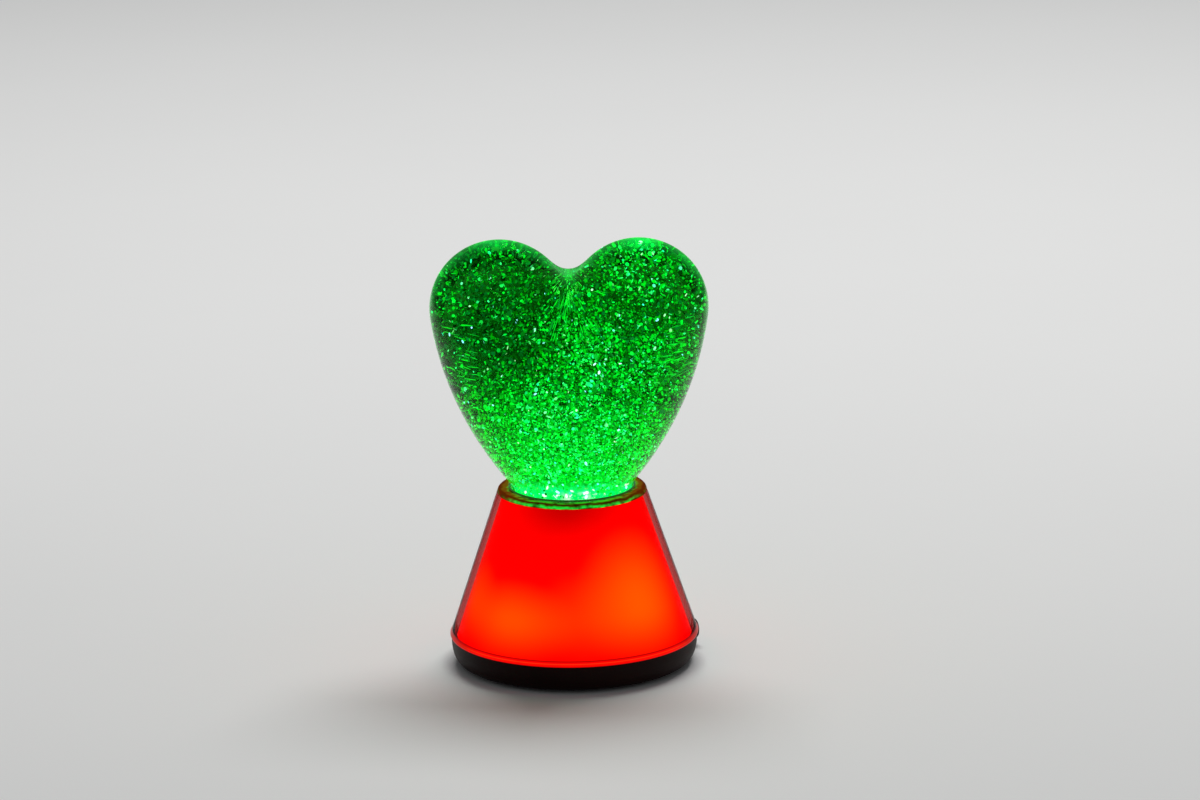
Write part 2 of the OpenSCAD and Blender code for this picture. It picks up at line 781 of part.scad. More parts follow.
module power_button() color(black) at_button() {
  edge = 0.8;
  rod(button_r, button_back, button_end - edge);
  translate([0, 0, button_end - edge]) cylinder(r1 = button_r, r2 = button_r - edge, h = edge);
  rod(stem_r, switch_end - switch_depth / 2 + button_travel, button_back);
}

module switch_body() color(black) difference() {
  rotate(button_angle) translate([switch_back, -switch_w / 2, floor_top])
    cube([switch_depth, switch_w, switch_top - floor_top]);
  at_button() rod(stem_r + run_fit, switch_end - switch_depth / 2 - drop_fit, switch_end + 1);
}

// Screws, heads down where they hold the base together

module screw(z_head, length, r, head_r, head_h, up) {
  translate([0, 0, z_head]) mirror([0, 0, up ? 0 : 1]) {
    translate([0, 0, -head_h]) difference() {
      cylinder(r = head_r, h = head_h);
      translate([0, 0, -1]) cylinder(r = head_r / 2, h = head_h / 2 + 1, $fn = 6);
    }
    cylinder(r = r, h = length);
  }
}

module base_screws() color(steel) around(4, post_ring_r)
  screw(head_seat, flange_top - screw_tip - head_seat, screw_r, screw_head_r, screw_head_h, true);

module plate_screws() color(steel) around(3, plate_screw_ring_r, 90)
  screw(motor_plate_top, motor_plate_t + inner_ledge_t, screw_r, plate_head_r, screw_head_h, false);

module motor_screws() color(steel) around(2, motor_screw_ring_r)
  screw(motor_plate_top, motor_plate_t + motor_screw_depth - drop_fit, motor_screw_r,
        2 * motor_screw_r, screw_head_h, false);

// Wires inside the base, along points chosen by hand from the pieces that they join and pass. The first
// runs from the bay to the switch, and the rest are turned with the button.

wire_r = 0.7;
board_top = flange_top + board_t;
motor_low = motor_top - motor_h;
wire_hole_z = board_top + 2 * wire_hole_r;

function between(a, b, part) = a + (b - a) * part;
function by_button(p) =
  let (c = cos(button_angle), s = sin(button_angle)) [p.x * c - p.y * s, p.x * s + p.y * c, p.z];

bay_face = bay_in_y + bay_wall;
lead_z = button_z + 1.5;
battery_route = concat(
  [for (p = [[6, touch], [6, 2.4], [8, 4.8], [12, 6]]) [p.x, bay_face + p.y, lead_z]],
  [for (p = [[-3.6, 15], [-2.2, 10.7], [-2.6, 6.3], [-3, 4], [-2, 3], [-touch, 3]])
    by_button([switch_back + p.x, p.y, lead_z])]
);

switch_pad = [between(base_board_in, post_ring_r, 0.55), wire_slot_w / 2 + 2 * wire_r];
switch_route = [
  [switch_back + 1.7, 2.4, switch_top + touch], [switch_back + 1.7, 2.4, switch_top + 2.5],
  [post_ring_r - 1.2, 1.2, between(switch_top, flange_z, 0.6)], [post_ring_r - 0.1, 0, flange_z - 0.4],
  [post_ring_r, 0, flange_top - 0.4], [post_ring_r - 0.4, 0.6, board_top + 1],
  [between(post_ring_r, switch_pad.x, 0.5), 2.2, board_top + 2.6],
  [switch_pad.x, switch_pad.y, board_top + 1.6], [switch_pad.x, switch_pad.y, board_top + touch]
];

pad_x = base_board_in + 3 * wire_r;
motor_pad_x = 9;
motor_route = concat(
  [[pad_x, -0.85, board_top + touch], [pad_x, -0.85, board_top + 1.8],
   [pad_x - 0.9, -0.85, wire_hole_z - 0.5], [tower_r, -0.85, wire_hole_z]],
  [for (p = [[0, -0.85, 0], [0.36, -1.2, 0.14], [0.75, -1.8, 0.47], [1, -2, 0.78]])
    [between(tower_in - 2, motor_pad_x, p.x), p.y, between(wire_hole_z, motor_low, p.z)]],
  [[motor_pad_x, -2, motor_low - touch]]
);

rise_z = wire_hole_z + wire_slot_w;
heart_route = [
  [pad_x, 0.85, board_top + touch], [pad_x, 0.85, board_top + 1.8],
  [pad_x - 0.9, 0.85, wire_hole_z - 0.5], [tower_r, 0.85, wire_hole_z],
  [tower_in - 0.8, 0.85, wire_hole_z + 0.4], [wire_hole_x + 1.9, 0.6, wire_hole_z + 2],
  [wire_hole_x + 0.3, 0.2, rise_z], [wire_hole_x, 0, between(rise_z, heart_board_z, 0.25)],
  [wire_hole_x, 0, between(rise_z, heart_board_z, 0.55)], [wire_hole_x, 0, heart_board_z - 2],
  [wire_hole_x - 0.4, 0, heart_board_z - 0.4], [wire_hole_x - 1.6, 0, heart_board_z + board_t / 2],
  [heart_board_out + touch, 0, heart_board_z + board_t / 2]
];

module battery_lead() color("firebrick") tube(battery_route, wire_r, [0, 0, 1]);

module switch_lead() color("firebrick") rotate(button_angle) tube(switch_route, wire_r, [0, 1, 0]);

module motor_lead() color("firebrick") rotate(button_angle) tube(motor_route, wire_r, [0, 1, 0]);

module heart_lead() color("firebrick") rotate(button_angle) tube(heart_route, wire_r, [0, 1, 0]);

foot_pads();
tray();
battery_door();
battery_bay();
battery_cells();
contact_springs();
contact_plates();
tower();
base_board();
base_leds();
motor_plate();
motor();
motor_shaft();
rotor();
rotor_magnets();
heart_board();
heart_leds();
plug();
plug_seal();
stirrer_pin();
stirrer();
stirrer_magnets();
stirrer_clip();
heart_vessel();
glitter_liquid();
glitter_flakes();
neck_gasket();
clear_cover();
diffuser();
power_button();
switch_body();
base_screws();
plate_screws();
motor_screws();
battery_lead();
switch_lead();
motor_lead();
heart_lead();
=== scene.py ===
import math
import random

import bpy
from mathutils import Matrix, Vector, noise


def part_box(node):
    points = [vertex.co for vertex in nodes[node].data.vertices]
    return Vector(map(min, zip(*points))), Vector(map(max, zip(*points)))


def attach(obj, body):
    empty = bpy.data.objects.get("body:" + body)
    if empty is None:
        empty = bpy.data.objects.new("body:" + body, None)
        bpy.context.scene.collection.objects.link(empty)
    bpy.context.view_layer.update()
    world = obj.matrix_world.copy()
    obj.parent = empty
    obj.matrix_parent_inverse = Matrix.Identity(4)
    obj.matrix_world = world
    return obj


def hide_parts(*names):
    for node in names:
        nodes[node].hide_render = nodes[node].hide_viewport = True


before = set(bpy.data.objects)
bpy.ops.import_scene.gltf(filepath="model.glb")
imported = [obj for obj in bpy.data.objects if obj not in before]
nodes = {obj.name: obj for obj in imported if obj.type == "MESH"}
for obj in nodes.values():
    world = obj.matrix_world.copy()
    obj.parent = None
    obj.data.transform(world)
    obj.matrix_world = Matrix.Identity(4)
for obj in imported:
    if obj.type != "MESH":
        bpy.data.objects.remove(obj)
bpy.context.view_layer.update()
print("frame loaded,", len(nodes), "nodes")

mergeGap = 2e-6  # points closer than this become one


# selection helpers

def clearSelection():
    if bpy.context.mode != "OBJECT":
        bpy.ops.object.mode_set(mode="OBJECT")
    bpy.ops.object.select_all(action="DESELECT")


def grab(piece):
    clearSelection()
    piece.select_set(True)
    bpy.context.view_layer.objects.active = piece


def nameNew(name):
    piece = bpy.context.object  # what the last add operator made
    piece.name = name
    piece.data.name = name
    return piece


def bakePlace(piece):
    grab(piece)
    bpy.ops.object.transform_apply(location=True, rotation=True, scale=True)


def smoothBy(piece, degrees):
    grab(piece)
    bpy.ops.object.shade_smooth_by_angle(angle=math.radians(degrees))


def arcPoints(cx, cz, r, a0, a1, count):
    out = []
    for i in range(count + 1):
        a = math.radians(a0 + (a1 - a0) * i / count)
        out.append((cx + r * math.cos(a), cz + r * math.sin(a)))
    return out


# draws a profile in the XZ plane point by point, then spins it round Z
def turnProfile(name, points, steps):
    clearSelection()
    bpy.ops.mesh.primitive_plane_add(size=0.001, location=(0, 0, 0))  # shrinks to the first point
    piece = nameNew(name)
    bpy.ops.object.mode_set(mode="EDIT")
    bpy.ops.mesh.select_all(action="SELECT")
    bpy.ops.mesh.merge(type="CENTER")
    bpy.ops.transform.translate(value=(points[0][0], 0, points[0][1]))
    for a, b in zip(points, points[1:]):
        step = (b[0] - a[0], 0, b[1] - a[1])
        bpy.ops.mesh.extrude_region_move(TRANSFORM_OT_translate={"value": step})
    bpy.ops.mesh.select_all(action="SELECT")
    bpy.ops.mesh.spin(steps=steps, angle=2 * math.pi, center=(0, 0, 0), axis=(0, 0, 1))
    bpy.ops.mesh.select_all(action="SELECT")
    bpy.ops.mesh.remove_doubles(threshold=mergeGap)
    bpy.ops.mesh.normals_make_consistent(inside=False)
    bpy.ops.object.mode_set(mode="OBJECT")
    return piece


def dress(piece, material, body, slotName, *stands):
    piece.data.materials.clear()
    piece.data.materials.append(material)
    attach(piece, body)
    if stands:
        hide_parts(*stands)
    print("piece", piece.name, len(piece.data.polygons), "faces")


# shader nodes

def groupShell(name, inputs, outputs):
    tree = bpy.data.node_groups.new(name, "ShaderNodeTree")
    for label, kind, value in inputs:
        sock = tree.interface.new_socket(label, in_out="INPUT", socket_type=kind)
        if value is not None:
            sock.default_value = value
    for label, kind in outputs:
        tree.interface.new_socket(label, in_out="OUTPUT", socket_type=kind)
    return tree, tree.nodes.new("NodeGroupInput"), tree.nodes.new("NodeGroupOutput")


def mathNode(tree, operation, a, b=None):
    node = tree.nodes.new("ShaderNodeMath")
    node.operation = operation
    for i, value in enumerate((a, b)):
        if isinstance(value, (int, float)):
            node.inputs[i].default_value = value
        elif value is not None:
            tree.links.new(value, node.inputs[i])
    return node.outputs[0]


def times(tree, a, b):
    return mathNode(tree, "MULTIPLY", a, b)


def vectorMath(tree, operation, a, b=None):
    node = tree.nodes.new("ShaderNodeVectorMath")
    node.operation = operation
    tree.links.new(a, node.inputs[0])
    if b is not None:
        tree.links.new(b, node.inputs[1])
    return node.outputs["Value" if operation == "LENGTH" else "Vector"]


def partsOf(tree, vector):
    node = tree.nodes.new("ShaderNodeSeparateXYZ")
    tree.links.new(vector, node.inputs[0])
    return node.outputs


# distance from the lamp's upright axis
def fromAxis(tree, parts):
    flat = tree.nodes.new("ShaderNodeCombineXYZ")
    for axis in ("X", "Y"):
        tree.links.new(parts[axis], flat.inputs[axis])
    return vectorMath(tree, "LENGTH", flat.outputs[0])


def mixColour(tree, factor, a, b, blend="MIX"):
    node = tree.nodes.new("ShaderNodeMix")
    node.data_type = "RGBA"
    node.blend_type = blend
    for socket, value in ((node.inputs["Factor"], factor), (node.inputs[6], a), (node.inputs[7], b)):
        if isinstance(value, (int, float)):
            socket.default_value = value
        elif isinstance(value, (tuple, list)):
            socket.default_value = (*value[:3], 1)
        else:
            tree.links.new(value, socket)
    return node.outputs[2]


def mapRange(tree, value, a0, a1, b0, b1, smooth=False):
    node = tree.nodes.new("ShaderNodeMapRange")
    node.interpolation_type = "SMOOTHSTEP" if smooth else "LINEAR"
    tree.links.new(value, node.inputs["Value"])
    for label, number in (("From Min", a0), ("From Max", a1), ("To Min", b0), ("To Max", b1)):
        if isinstance(number, (int, float)):
            node.inputs[label].default_value = number
        else:
            tree.links.new(number, node.inputs[label])
    return node.outputs["Result"]


def noiseNode(tree, vector, scale, detail):
    node = tree.nodes.new("ShaderNodeTexNoise")
    node.inputs["Detail"].default_value = detail
    node.inputs["Roughness"].default_value = 0.55
    tree.links.new(vector, node.inputs["Vector"])
    if isinstance(scale, (int, float)):
        node.inputs["Scale"].default_value = scale
    else:
        tree.links.new(scale, node.inputs["Scale"])
    return node.outputs["Fac"]


def colourRamp(tree, factor, stops):
    ramp = tree.nodes.new("ShaderNodeValToRGB")
    while len(ramp.color_ramp.elements) < len(stops):
        ramp.color_ramp.elements.new(1.0)
    for element, (at, colour) in zip(ramp.color_ramp.elements, stops):
        element.position = at
        element.color = (*colour, 1)
    tree.links.new(factor, ramp.inputs[0])
    return ramp.outputs[0]


# shader groups that several finishes share

grainSet = {
    "middle": (0.35, 0.65), "blotchShare": 0.6, "gritShare": 0.4, "blotchDetail": 4.0, "gritDetail": 2.0,
}


# moulded grain: slow blotches for the tint, fine grit for the height
def makeMouldGrain(s):
    tree, gin, gout = groupShell(
        "mouldGrain",
        [("Place", "NodeSocketVector", None), ("Tint A", "NodeSocketColor", (0.5, 0.5, 0.5, 1)),
         ("Tint B", "NodeSocketColor", (0.4, 0.4, 0.4, 1)), ("Blotch Scale", "NodeSocketFloat", 60.0),
         ("Grit Scale", "NodeSocketFloat", 1800.0), ("Rough Low", "NodeSocketFloat", 0.3),
         ("Rough High", "NodeSocketFloat", 0.5)],
        [("Tint", "NodeSocketColor"), ("Roughness", "NodeSocketFloat"), ("Height", "NodeSocketFloat")])
    given = gin.outputs
    blotch = noiseNode(tree, given["Place"], given["Blotch Scale"], s["blotchDetail"])
    grit = noiseNode(tree, given["Place"], given["Grit Scale"], s["gritDetail"])
    tint = mixColour(tree, mapRange(tree, blotch, *s["middle"], 0.0, 1.0), given["Tint A"], given["Tint B"])
    both = mathNode(tree, "ADD", times(tree, blotch, s["blotchShare"]), times(tree, grit, s["gritShare"]))
    rough = mapRange(tree, both, *s["middle"], given["Rough Low"], given["Rough High"])
    tree.links.new(tint, gout.inputs["Tint"])
    tree.links.new(rough, gout.inputs["Roughness"])
    tree.links.new(grit, gout.inputs["Height"])
    return tree


# a soft spot round a place, stretched along each axis
def makeGlowSpot():
    tree, gin, gout = groupShell(
        "glowSpot",
        [("Place", "NodeSocketVector", None), ("Centre", "NodeSocketVector", (0, 0, 0)),
         ("Spread", "NodeSocketVector", (0.01, 0.01, 0.01))],
        [("Mask", "NodeSocketFloat")])
    away = vectorMath(tree, "SUBTRACT", gin.outputs["Place"], gin.outputs["Centre"])
    ratio = vectorMath(tree, "DIVIDE", away, gin.outputs["Spread"])
    mask = mapRange(tree, vectorMath(tree, "LENGTH", ratio), 0.0, 1.0, 1.0, 0.0, True)
    tree.links.new(mask, gout.inputs["Mask"])
    return tree


mouldGrain = makeMouldGrain(grainSet)
glowSpot = makeGlowSpot()


def startMaterial(name):
    mat = bpy.data.materials.new(name)
    mat.use_nodes = True
    tree = mat.node_tree
    place = tree.nodes.new("ShaderNodeTexCoord").outputs["Object"]
    return mat, tree, tree.nodes["Principled BSDF"], place


def placeGroup(tree, group, place, **values):
    node = tree.nodes.new("ShaderNodeGroup")
    node.node_tree = group
    tree.links.new(place, node.inputs["Place"])
    for label, value in values.items():
        socket = node.inputs[label.replace("_", " ")]
        socket.default_value = (*value, 1) if socket.type == "RGBA" else value
    return node


def spotMask(tree, place, centre, spread):
    return placeGroup(tree, glowSpot, place, Centre=centre, Spread=spread).outputs["Mask"]


# grain that drives a shader's colour and roughness, and gives back its height
def layGrain(tree, shader, place, tints, rough, **scales):
    grain = placeGroup(tree, mouldGrain, place, Tint_A=tints[0], Tint_B=tints[1],
                       Rough_Low=rough[0], Rough_High=rough[1], **scales)
    tree.links.new(grain.outputs["Tint"], shader.inputs["Base Color"])
    tree.links.new(grain.outputs["Roughness"], shader.inputs["Roughness"])
    return grain.outputs["Height"]


def addGlow(tree, shader, colour, strength):
    tree.links.new(colour, shader.inputs["Emission Color"])
    shader.inputs["Emission Strength"].default_value = strength


def addBump(tree, shader, height, strength, distance):
    bump = tree.nodes.new("ShaderNodeBump")
    bump.inputs["Strength"].default_value = strength
    bump.inputs["Distance"].default_value = distance
    tree.links.new(height, bump.inputs["Height"])
    tree.links.new(bump.outputs["Normal"], shader.inputs["Normal"])


bumpSet = {"grain": 0.0002, "clear": 0.001}  # how deep a full bump goes
clearSet = {"gritRatio": 2.5, "rough": (0.01, 0.05)}


# moulded, painted, rubber and metal finishes all start from the grain group
def grainFinish(name, tintA, tintB, rough, blotch=60.0, grit=1800.0, bump=0.15, metallic=0.0, level=0.5):
    mat, tree, shader, place = startMaterial(name)
    height = layGrain(tree, shader, place, (tintA, tintB), rough, Blotch_Scale=blotch, Grit_Scale=grit)
    shader.inputs["Metallic"].default_value = metallic
    shader.inputs["Specular IOR Level"].default_value = level
    addBump(tree, shader, height, bump, bumpSet["grain"])
    return mat


def clearFinish(name, s):
    mat, tree, shader, place = startMaterial(name)
    shader.inputs["Base Color"].default_value = (*s["tint"], 1)
    shader.inputs["Transmission Weight"].default_value = 1.0
    shader.inputs["IOR"].default_value = s["ior"]
    low, high = clearSet["rough"]
    grain = placeGroup(tree, mouldGrain, place, Blotch_Scale=s["waveScale"],
                       Grit_Scale=s["waveScale"] * clearSet["gritRatio"], Rough_Low=low, Rough_High=high)
    tree.links.new(grain.outputs["Roughness"], shader.inputs["Roughness"])
    addBump(tree, shader, grain.outputs["Height"], s["wave"], bumpSet["clear"])
    if "absorb" in s:
        # the mirror colour tints reflections: painted green light on the heart, painted red light on the
        # cover
        shader.inputs["Specular Tint"].default_value = (*s["mirror"], 1)
        volume = tree.nodes.new("ShaderNodeVolumeAbsorption")
        volume.inputs["Color"].default_value = (*s["absorb"], 1)
        volume.inputs["Density"].default_value = s["density"]
        tree.links.new(volume.outputs[0], tree.nodes["Material Output"].inputs["Volume"])
    return mat


# heart vessel with its liquid, as one clear body

heartSet = {
    # outline, with heights from the collar's top, except collarZ and bottomZ
    "width": 0.130, "height": 0.1185, "depth": 0.074, "lobeR": 0.0326, "notchR": 0.0085, "sideR": 0.155,
    "bellyZ": 0.046, "fullness": 2.7, "shoulderZ": 0.002, "shoulderR": 0.003, "neckR": 0.0285,
    "collarZ": 0.085, "bottomZ": 0.0819, "edgeR": 0.0008, "floorRings": (0.4, 0.75),
    "sides": 128, "rings": 120, "neckRings": 14, "edgeSteps": 5,
    "shoulderSteps": 30, "sideSteps": 60, "lobeSteps": 80, "notchSteps": 30, "frontSteps": 60,
    # glass and liquid; the green mirror colour is painted green light in the reflections
    "tint": (0.96, 1.0, 0.97), "ior": 1.36, "wave": 0.012, "waveScale": 45.0,
    "absorb": (0.0, 0.62, 0.03), "density": 108.0, "mirror": (0.03, 1.0, 0.1),
    # light in the rim: its half width, where it rises, and brighter spots of painted highlight at the lobe
    # tops and the notch, as centre, spread and power
    "rim": 0.7, "rimColour": (0.0, 1.0, 0.1), "rimShare": 0.5, "rimHalf": 0.011, "rimZ": (0.12, 0.185),
    "rimFoot": 0.15, "streakScale": 130.0, "streaks": (0.35, 0.7, 0.45, 1.2),
    "spots": [((0.034, 0, 0.2045), (0.015, 0.03, 0.007), 0.9),
              ((-0.034, 0, 0.2045), (0.020, 0.03, 0.006), 0.35),
              ((0.0, 0, 0.188), (0.006, 0.03, 0.006), 0.25)],
}


def meetCircles(p, rp, q, rq):
    gap = (q - p).length
    along = (rp * rp - rq * rq + gap * gap) / (2 * gap)
    e = (q - p) / gap
    return p + along * e + math.sqrt(rp * rp - along * along) * Vector((e.y, -e.x))


# side and front outlines of the heart, and the height where they start
def heartLines(s):
    lobeC = Vector((s["width"] / 2 - s["lobeR"], s["height"] - s["lobeR"]))
    shoulder = Vector((s["neckR"], s["shoulderZ"]))
    sideC = meetCircles(lobeC, s["sideR"] - s["lobeR"], shoulder, s["sideR"])
    notchC = Vector((0, lobeC.y + math.sqrt((s["lobeR"] + s["notchR"]) ** 2 - lobeC.x ** 2)))
    filletX = s["neckR"] + s["shoulderR"]
    drop = math.sqrt((s["sideR"] + s["shoulderR"]) ** 2 - (filletX - sideC.x) ** 2)
    filletC = Vector((filletX, sideC.y - drop))
    turn = lambda c: math.degrees(math.atan2(c.y, c.x))
    shoulderA, lobeA, notchA = turn(filletC - sideC), turn(lobeC - sideC), turn(notchC - lobeC)
    side = (arcPoints(*filletC, s["shoulderR"], 180, 180 + shoulderA, s["shoulderSteps"])
            + arcPoints(*sideC, s["sideR"], shoulderA, lobeA, s["sideSteps"])
            + arcPoints(*lobeC, s["lobeR"], lobeA, notchA, s["lobeSteps"])
            + arcPoints(*notchC, s["notchR"], notchA - 180, -90, s["notchSteps"]))
    neck, belly, bellyZ, top, z0 = s["neckR"], s["depth"] / 2, s["bellyZ"], notchC.y - s["notchR"], filletC.y
    front, count, power = [], s["frontSteps"], 2 / s["fullness"]
    for i in range(count + 1):
        swell = (1 - math.cos(math.pi * i / count)) / 2
        front.append((neck + (belly - neck) * swell, z0 + (bellyZ - z0) * i / count))
    for i in range(count + 1):
        a = math.pi * i / (2 * count)
        back, lift = max(0.0, math.cos(a)) ** power, math.sin(a) ** power
        front.append((belly * back, bellyZ + (top - bellyZ) * lift))
    return side, front, z0


# point at a share of a polyline's length
def alongLine(points, share):
    lengths = [math.dist(a, b) for a, b in zip(points, points[1:])]
    left = share * sum(lengths)
    for a, b, step in zip(points, points[1:], lengths):
        if left <= step and step > 0:
            return a[0] + (b[0] - a[0]) * left / step, a[1] + (b[1] - a[1]) * left / step
        left -= step
    return points[-1]


# rings from the bottom's middle up to the notch, as side radius, side z, front radius and front z
def heartRings(s):
    side, front, z0 = heartLines(s)
    neck, edge, low = s["neckR"], s["edgeR"], s["bottomZ"] - s["collarZ"]
    foot = [(0, low)] + [(share * neck, low) for share in s["floorRings"]]
    foot += arcPoints(neck - edge, low + edge, edge, -90, 0, s["edgeSteps"])
    upright = s["neckRings"] - len(foot)
    for i in range(1, upright + 1):
        foot.append((neck, low + edge + (z0 - low - edge) * i / (upright + 1)))
    rings = [(r, z, r, z) for r, z in foot]
    climb = s["rings"] - len(rings)
    for i in range(climb + 1):
        rings.append((*alongLine(side, i / climb), *alongLine(front, i / climb)))
    return rings


def makeHeart(s):
    rings = heartRings(s)
    clearSelection()
    bpy.ops.mesh.primitive_uv_sphere_add(segments=s["sides"], ring_count=s["rings"], radius=1.0,
                                         location=(0, 0, 0))
    piece = nameNew("heartVessel")
    for v in piece.data.vertices:
        k = round((1 - math.acos(max(-1, min(1, v.co.z))) / math.pi) * s["rings"])
        sr, sz, fr, fz = rings[k]
        flat = math.hypot(v.co.x, v.co.y)
        c, n = (v.co.x / flat, v.co.y / flat) if flat > mergeGap else (1, 0)
        v.co = (sr * c, fr * n, s["collarZ"] + sz * c * c + fz * n * n)
    grab(piece)
    bpy.ops.object.mode_set(mode="EDIT")
    bpy.ops.mesh.select_all(action="SELECT")
    bpy.ops.mesh.normals_make_consistent(inside=False)
    bpy.ops.object.mode_set(mode="OBJECT")
    smoothBy(piece, 60)
    return piece


# the wall carries light round the heart's outline, painted here as glow, with painted highlights at the lobe
# tops and the notch
def addRimLight(mat, s):
    tree = mat.node_tree
    place = tree.nodes.new("ShaderNodeTexCoord").outputs["Object"]
    parts = partsOf(tree, place)
    ridge = mapRange(tree, mathNode(tree, "ABSOLUTE", parts["Y"]), 0.0, s["rimHalf"], 1.0, 0.0, True)
    lift = mapRange(tree, parts["Z"], *s["rimZ"], s["rimFoot"], 1.0, True)
    streak = mapRange(tree, noiseNode(tree, place, s["streakScale"], 3.0), *s["streaks"])
    mask = times(tree, times(tree, times(tree, ridge, lift), streak), s["rimShare"])
    # painted highlights at the lobe tops and the notch
    for centre, spread, power in s["spots"]:
        mask = mathNode(tree, "ADD", mask, times(tree, spotMask(tree, place, centre, spread), power))
    addGlow(tree, tree.nodes["Principled BSDF"], mixColour(tree, mask, (0, 0, 0), s["rimColour"]), s["rim"])


# bare neck below the liquid
neckSet = {
    "wall": 0.002, "end": 0.071, "edge": 0.0003, "drop": 0.0001, "steps": 96,
    "tint": (0.95, 1.0, 0.96), "ior": 1.47, "wave": 0.02, "waveScale": 60.0,
}


def makeVesselNeck(heart, s):
    r, low, top, edge = heart["neckR"], s["end"], heart["bottomZ"] - s["drop"], s["edge"]
    inner = r - s["wall"]
    points = [(inner, low), (r - edge, low), (r, low + edge), (r, top), (inner, top), (inner, low)]
    piece = turnProfile("vesselNeck", points, s["steps"])
    smoothBy(piece, 40)
    dress(piece, clearFinish("neckClear", s), "base", "vessel_clear", "heart_vessel")


heartVessel = makeHeart(heartSet)
heartClear = clearFinish("heartClear", heartSet)
addRimLight(heartClear, heartSet)
dress(heartVessel, heartClear, "base", "vessel_clear", "heart_vessel", "glitter_liquid")
makeVesselNeck(heartSet, neckSet)


# glitter: thousands of small six-sided flakes hanging in the liquid

glitterSet = {
    "seed": 41, "thick": 0.00008, "margin": 0.0024, "slim": (0.5, 1.0), "thinOut": 0.25,
    # how many flakes, and their least and most half length, or half width for the streaks
    "drift": (9400, (0.00052, 0.00115)), "dust": (9600, (0.00032, 0.0007)), "haze": (6000, (0.0008, 0.0014)),
    "bed": (8600, (0.00045, 0.00105)), "stars": (640, (0.0007, 0.0013)), "streaks": (230, (0.00014, 0.00032)),
    # light from below: its level at the neck, its fall to the top and its lean to the right
    "neckZ": 0.085, "span": 0.118, "halfWidth": 0.065, "level": 0.96, "fall": 0.50, "lean": 0.10,
    "leanFoot": 0.3, "least": 0.05, "mottle": 0.40, "clump": 130.0,
    # brighter and darker patches of painted light and shade in the liquid, the two near the lobe tops painted
    # highlights: x, z, half width, half height, change
    "glowPatches": [(0.003, 0.108, 0.026, 0.014, 0.36), (-0.014, 0.131, 0.019, 0.010, 0.32),
                (0.006, 0.123, 0.018, 0.009, 0.16), (0.008, 0.153, 0.014, 0.012, 0.32),
                (0.039, 0.148, 0.010, 0.017, 0.22), (0.032, 0.191, 0.013, 0.013, 0.38),
                (-0.033, 0.198, 0.015, 0.006, 0.24), (0.029, 0.164, 0.008, 0.008, -0.18),
                (-0.040, 0.154, 0.024, 0.020, -0.30), (0.056, 0.158, 0.014, 0.020, -0.26),
                (0.049, 0.124, 0.014, 0.015, -0.26)],
    # tones, as a least value and a span
    "oddShare": 0.07, "flash": (0.84, 0.159), "dark": 0.05, "driftTone": (0.29, 0.63), "driftBend": 0.28,
    "driftLift": 0.02, "driftMost": 0.86, "hazeTone": (0.32, 0.14), "hazePower": 1.5,
    "starTone": (0.66, 0.42), "streakTone": (0.30, 0.27), "most": 0.999,
    # bed over the neck: its height, half width, flare, and how its painted light falls upwards and to the
    # sides
    "bedZ": 0.0902, "bedHigh": 0.042, "bedRise": 0.02, "bedHalf": 0.030, "bedFlare": 0.68,
    "bedFlareZ": 0.0905, "bedTone": (0.45, 0.52), "bedFall": 0.09, "bedPower": 1.8, "bedSide": 0.4,
    # large sparks against the lit neck
    "sparkChance": 0.0009, "sparkTurn": (-1.571, 0.7), "sparkR": (0.0246, 0.0258), "sparkZ": (0.0862, 0.0900),
    "sparkLong": (0.0007, 0.0016), "sparkSlim": (0.4, 0.9),
    # streaks over the notch, below it and at the sides
    "notchZ": 0.1877, "overShare": 0.27, "fanShare": 0.62, "fanTurn": 24, "fanLong": (0.0010, 0.0032),
    "overReach": (0.001, 0.026), "overAside": 0.5, "fanReach": (0.005, 0.024), "sideLong": (0.0012, 0.0034),
    "sideX": (0.045, 0.058), "sideZ": (0.134, 0.170), "sideSlope": (-0.12, 0.28), "castY": 0.2, "castZ": 0.25,
    "streakIn": 1.3,
    # film: where each tone and hue lies on the map, and its light
    "tones": 32, "hues": 8, "mapTop": 0.42, "mapBack": 0.2, "strength": 1.9, "rough": 0.3, "metal": 0.5,
    "stops": [(0.0, (0.0, 0.02, 0.002)), (0.3, (0.0, 0.16, 0.01)), (0.55, (0.0, 0.62, 0.012)),
              (0.75, (0.0, 1.0, 0.05)), (0.9, (0.05, 1.0, 0.36)), (1.0, (0.95, 1.0, 0.92))],
    "cool": (0.55, 1.0, 2.6), "coolFrom": 0.55, "unlit": (0.4, 0.4, 0.4),
}
fullTurn = 6.283


def flakeTemplate(s):
    clearSelection()
    bpy.ops.mesh.primitive_cylinder_add(vertices=6, radius=1.0, depth=s["thick"], location=(0, 0, 0))
    proto = nameNew("flakeProto")
    verts = [v.co.copy() for v in proto.data.vertices]
    faces = [list(p.vertices) for p in proto.data.polygons]
    bpy.data.objects.remove(proto)
    return verts, faces


# how brightly the lights below reach a place in the heart
def glowAt(p, s):
    up = (p.z - s["neckZ"]) / s["span"]
    glow = s["level"] - s["fall"] * up + s["lean"] * p.x / s["halfWidth"] * (s["leanFoot"] + up)
    # patches of painted light and shade, two of them painted highlights
    for x, z, wide, high, change in s["glowPatches"]:
        glow += change * math.exp(-(((p.x - x) / wide) ** 2 + ((p.z - z) / high) ** 2))
    glow += s["mottle"] * noise.fractal(p * s["clump"], 0.7, 2.1, 2)
    return max(s["least"], min(1.0, glow))


def insideHeart(p, margin):
    hit, near, normal, _ = heartVessel.closest_point_on_mesh(p)
    away = p - near
    return hit and away.dot(normal) < 0 and away.length > margin


def tumble(rng):
    spin = Matrix.Rotation(rng.uniform(0, fullTurn), 3, "Z")
    heading = Matrix.Rotation(rng.uniform(0, fullTurn), 3, "Z")
    return heading @ Matrix.Rotation(math.acos(rng.uniform(-1, 1)), 3, "X") @ spin


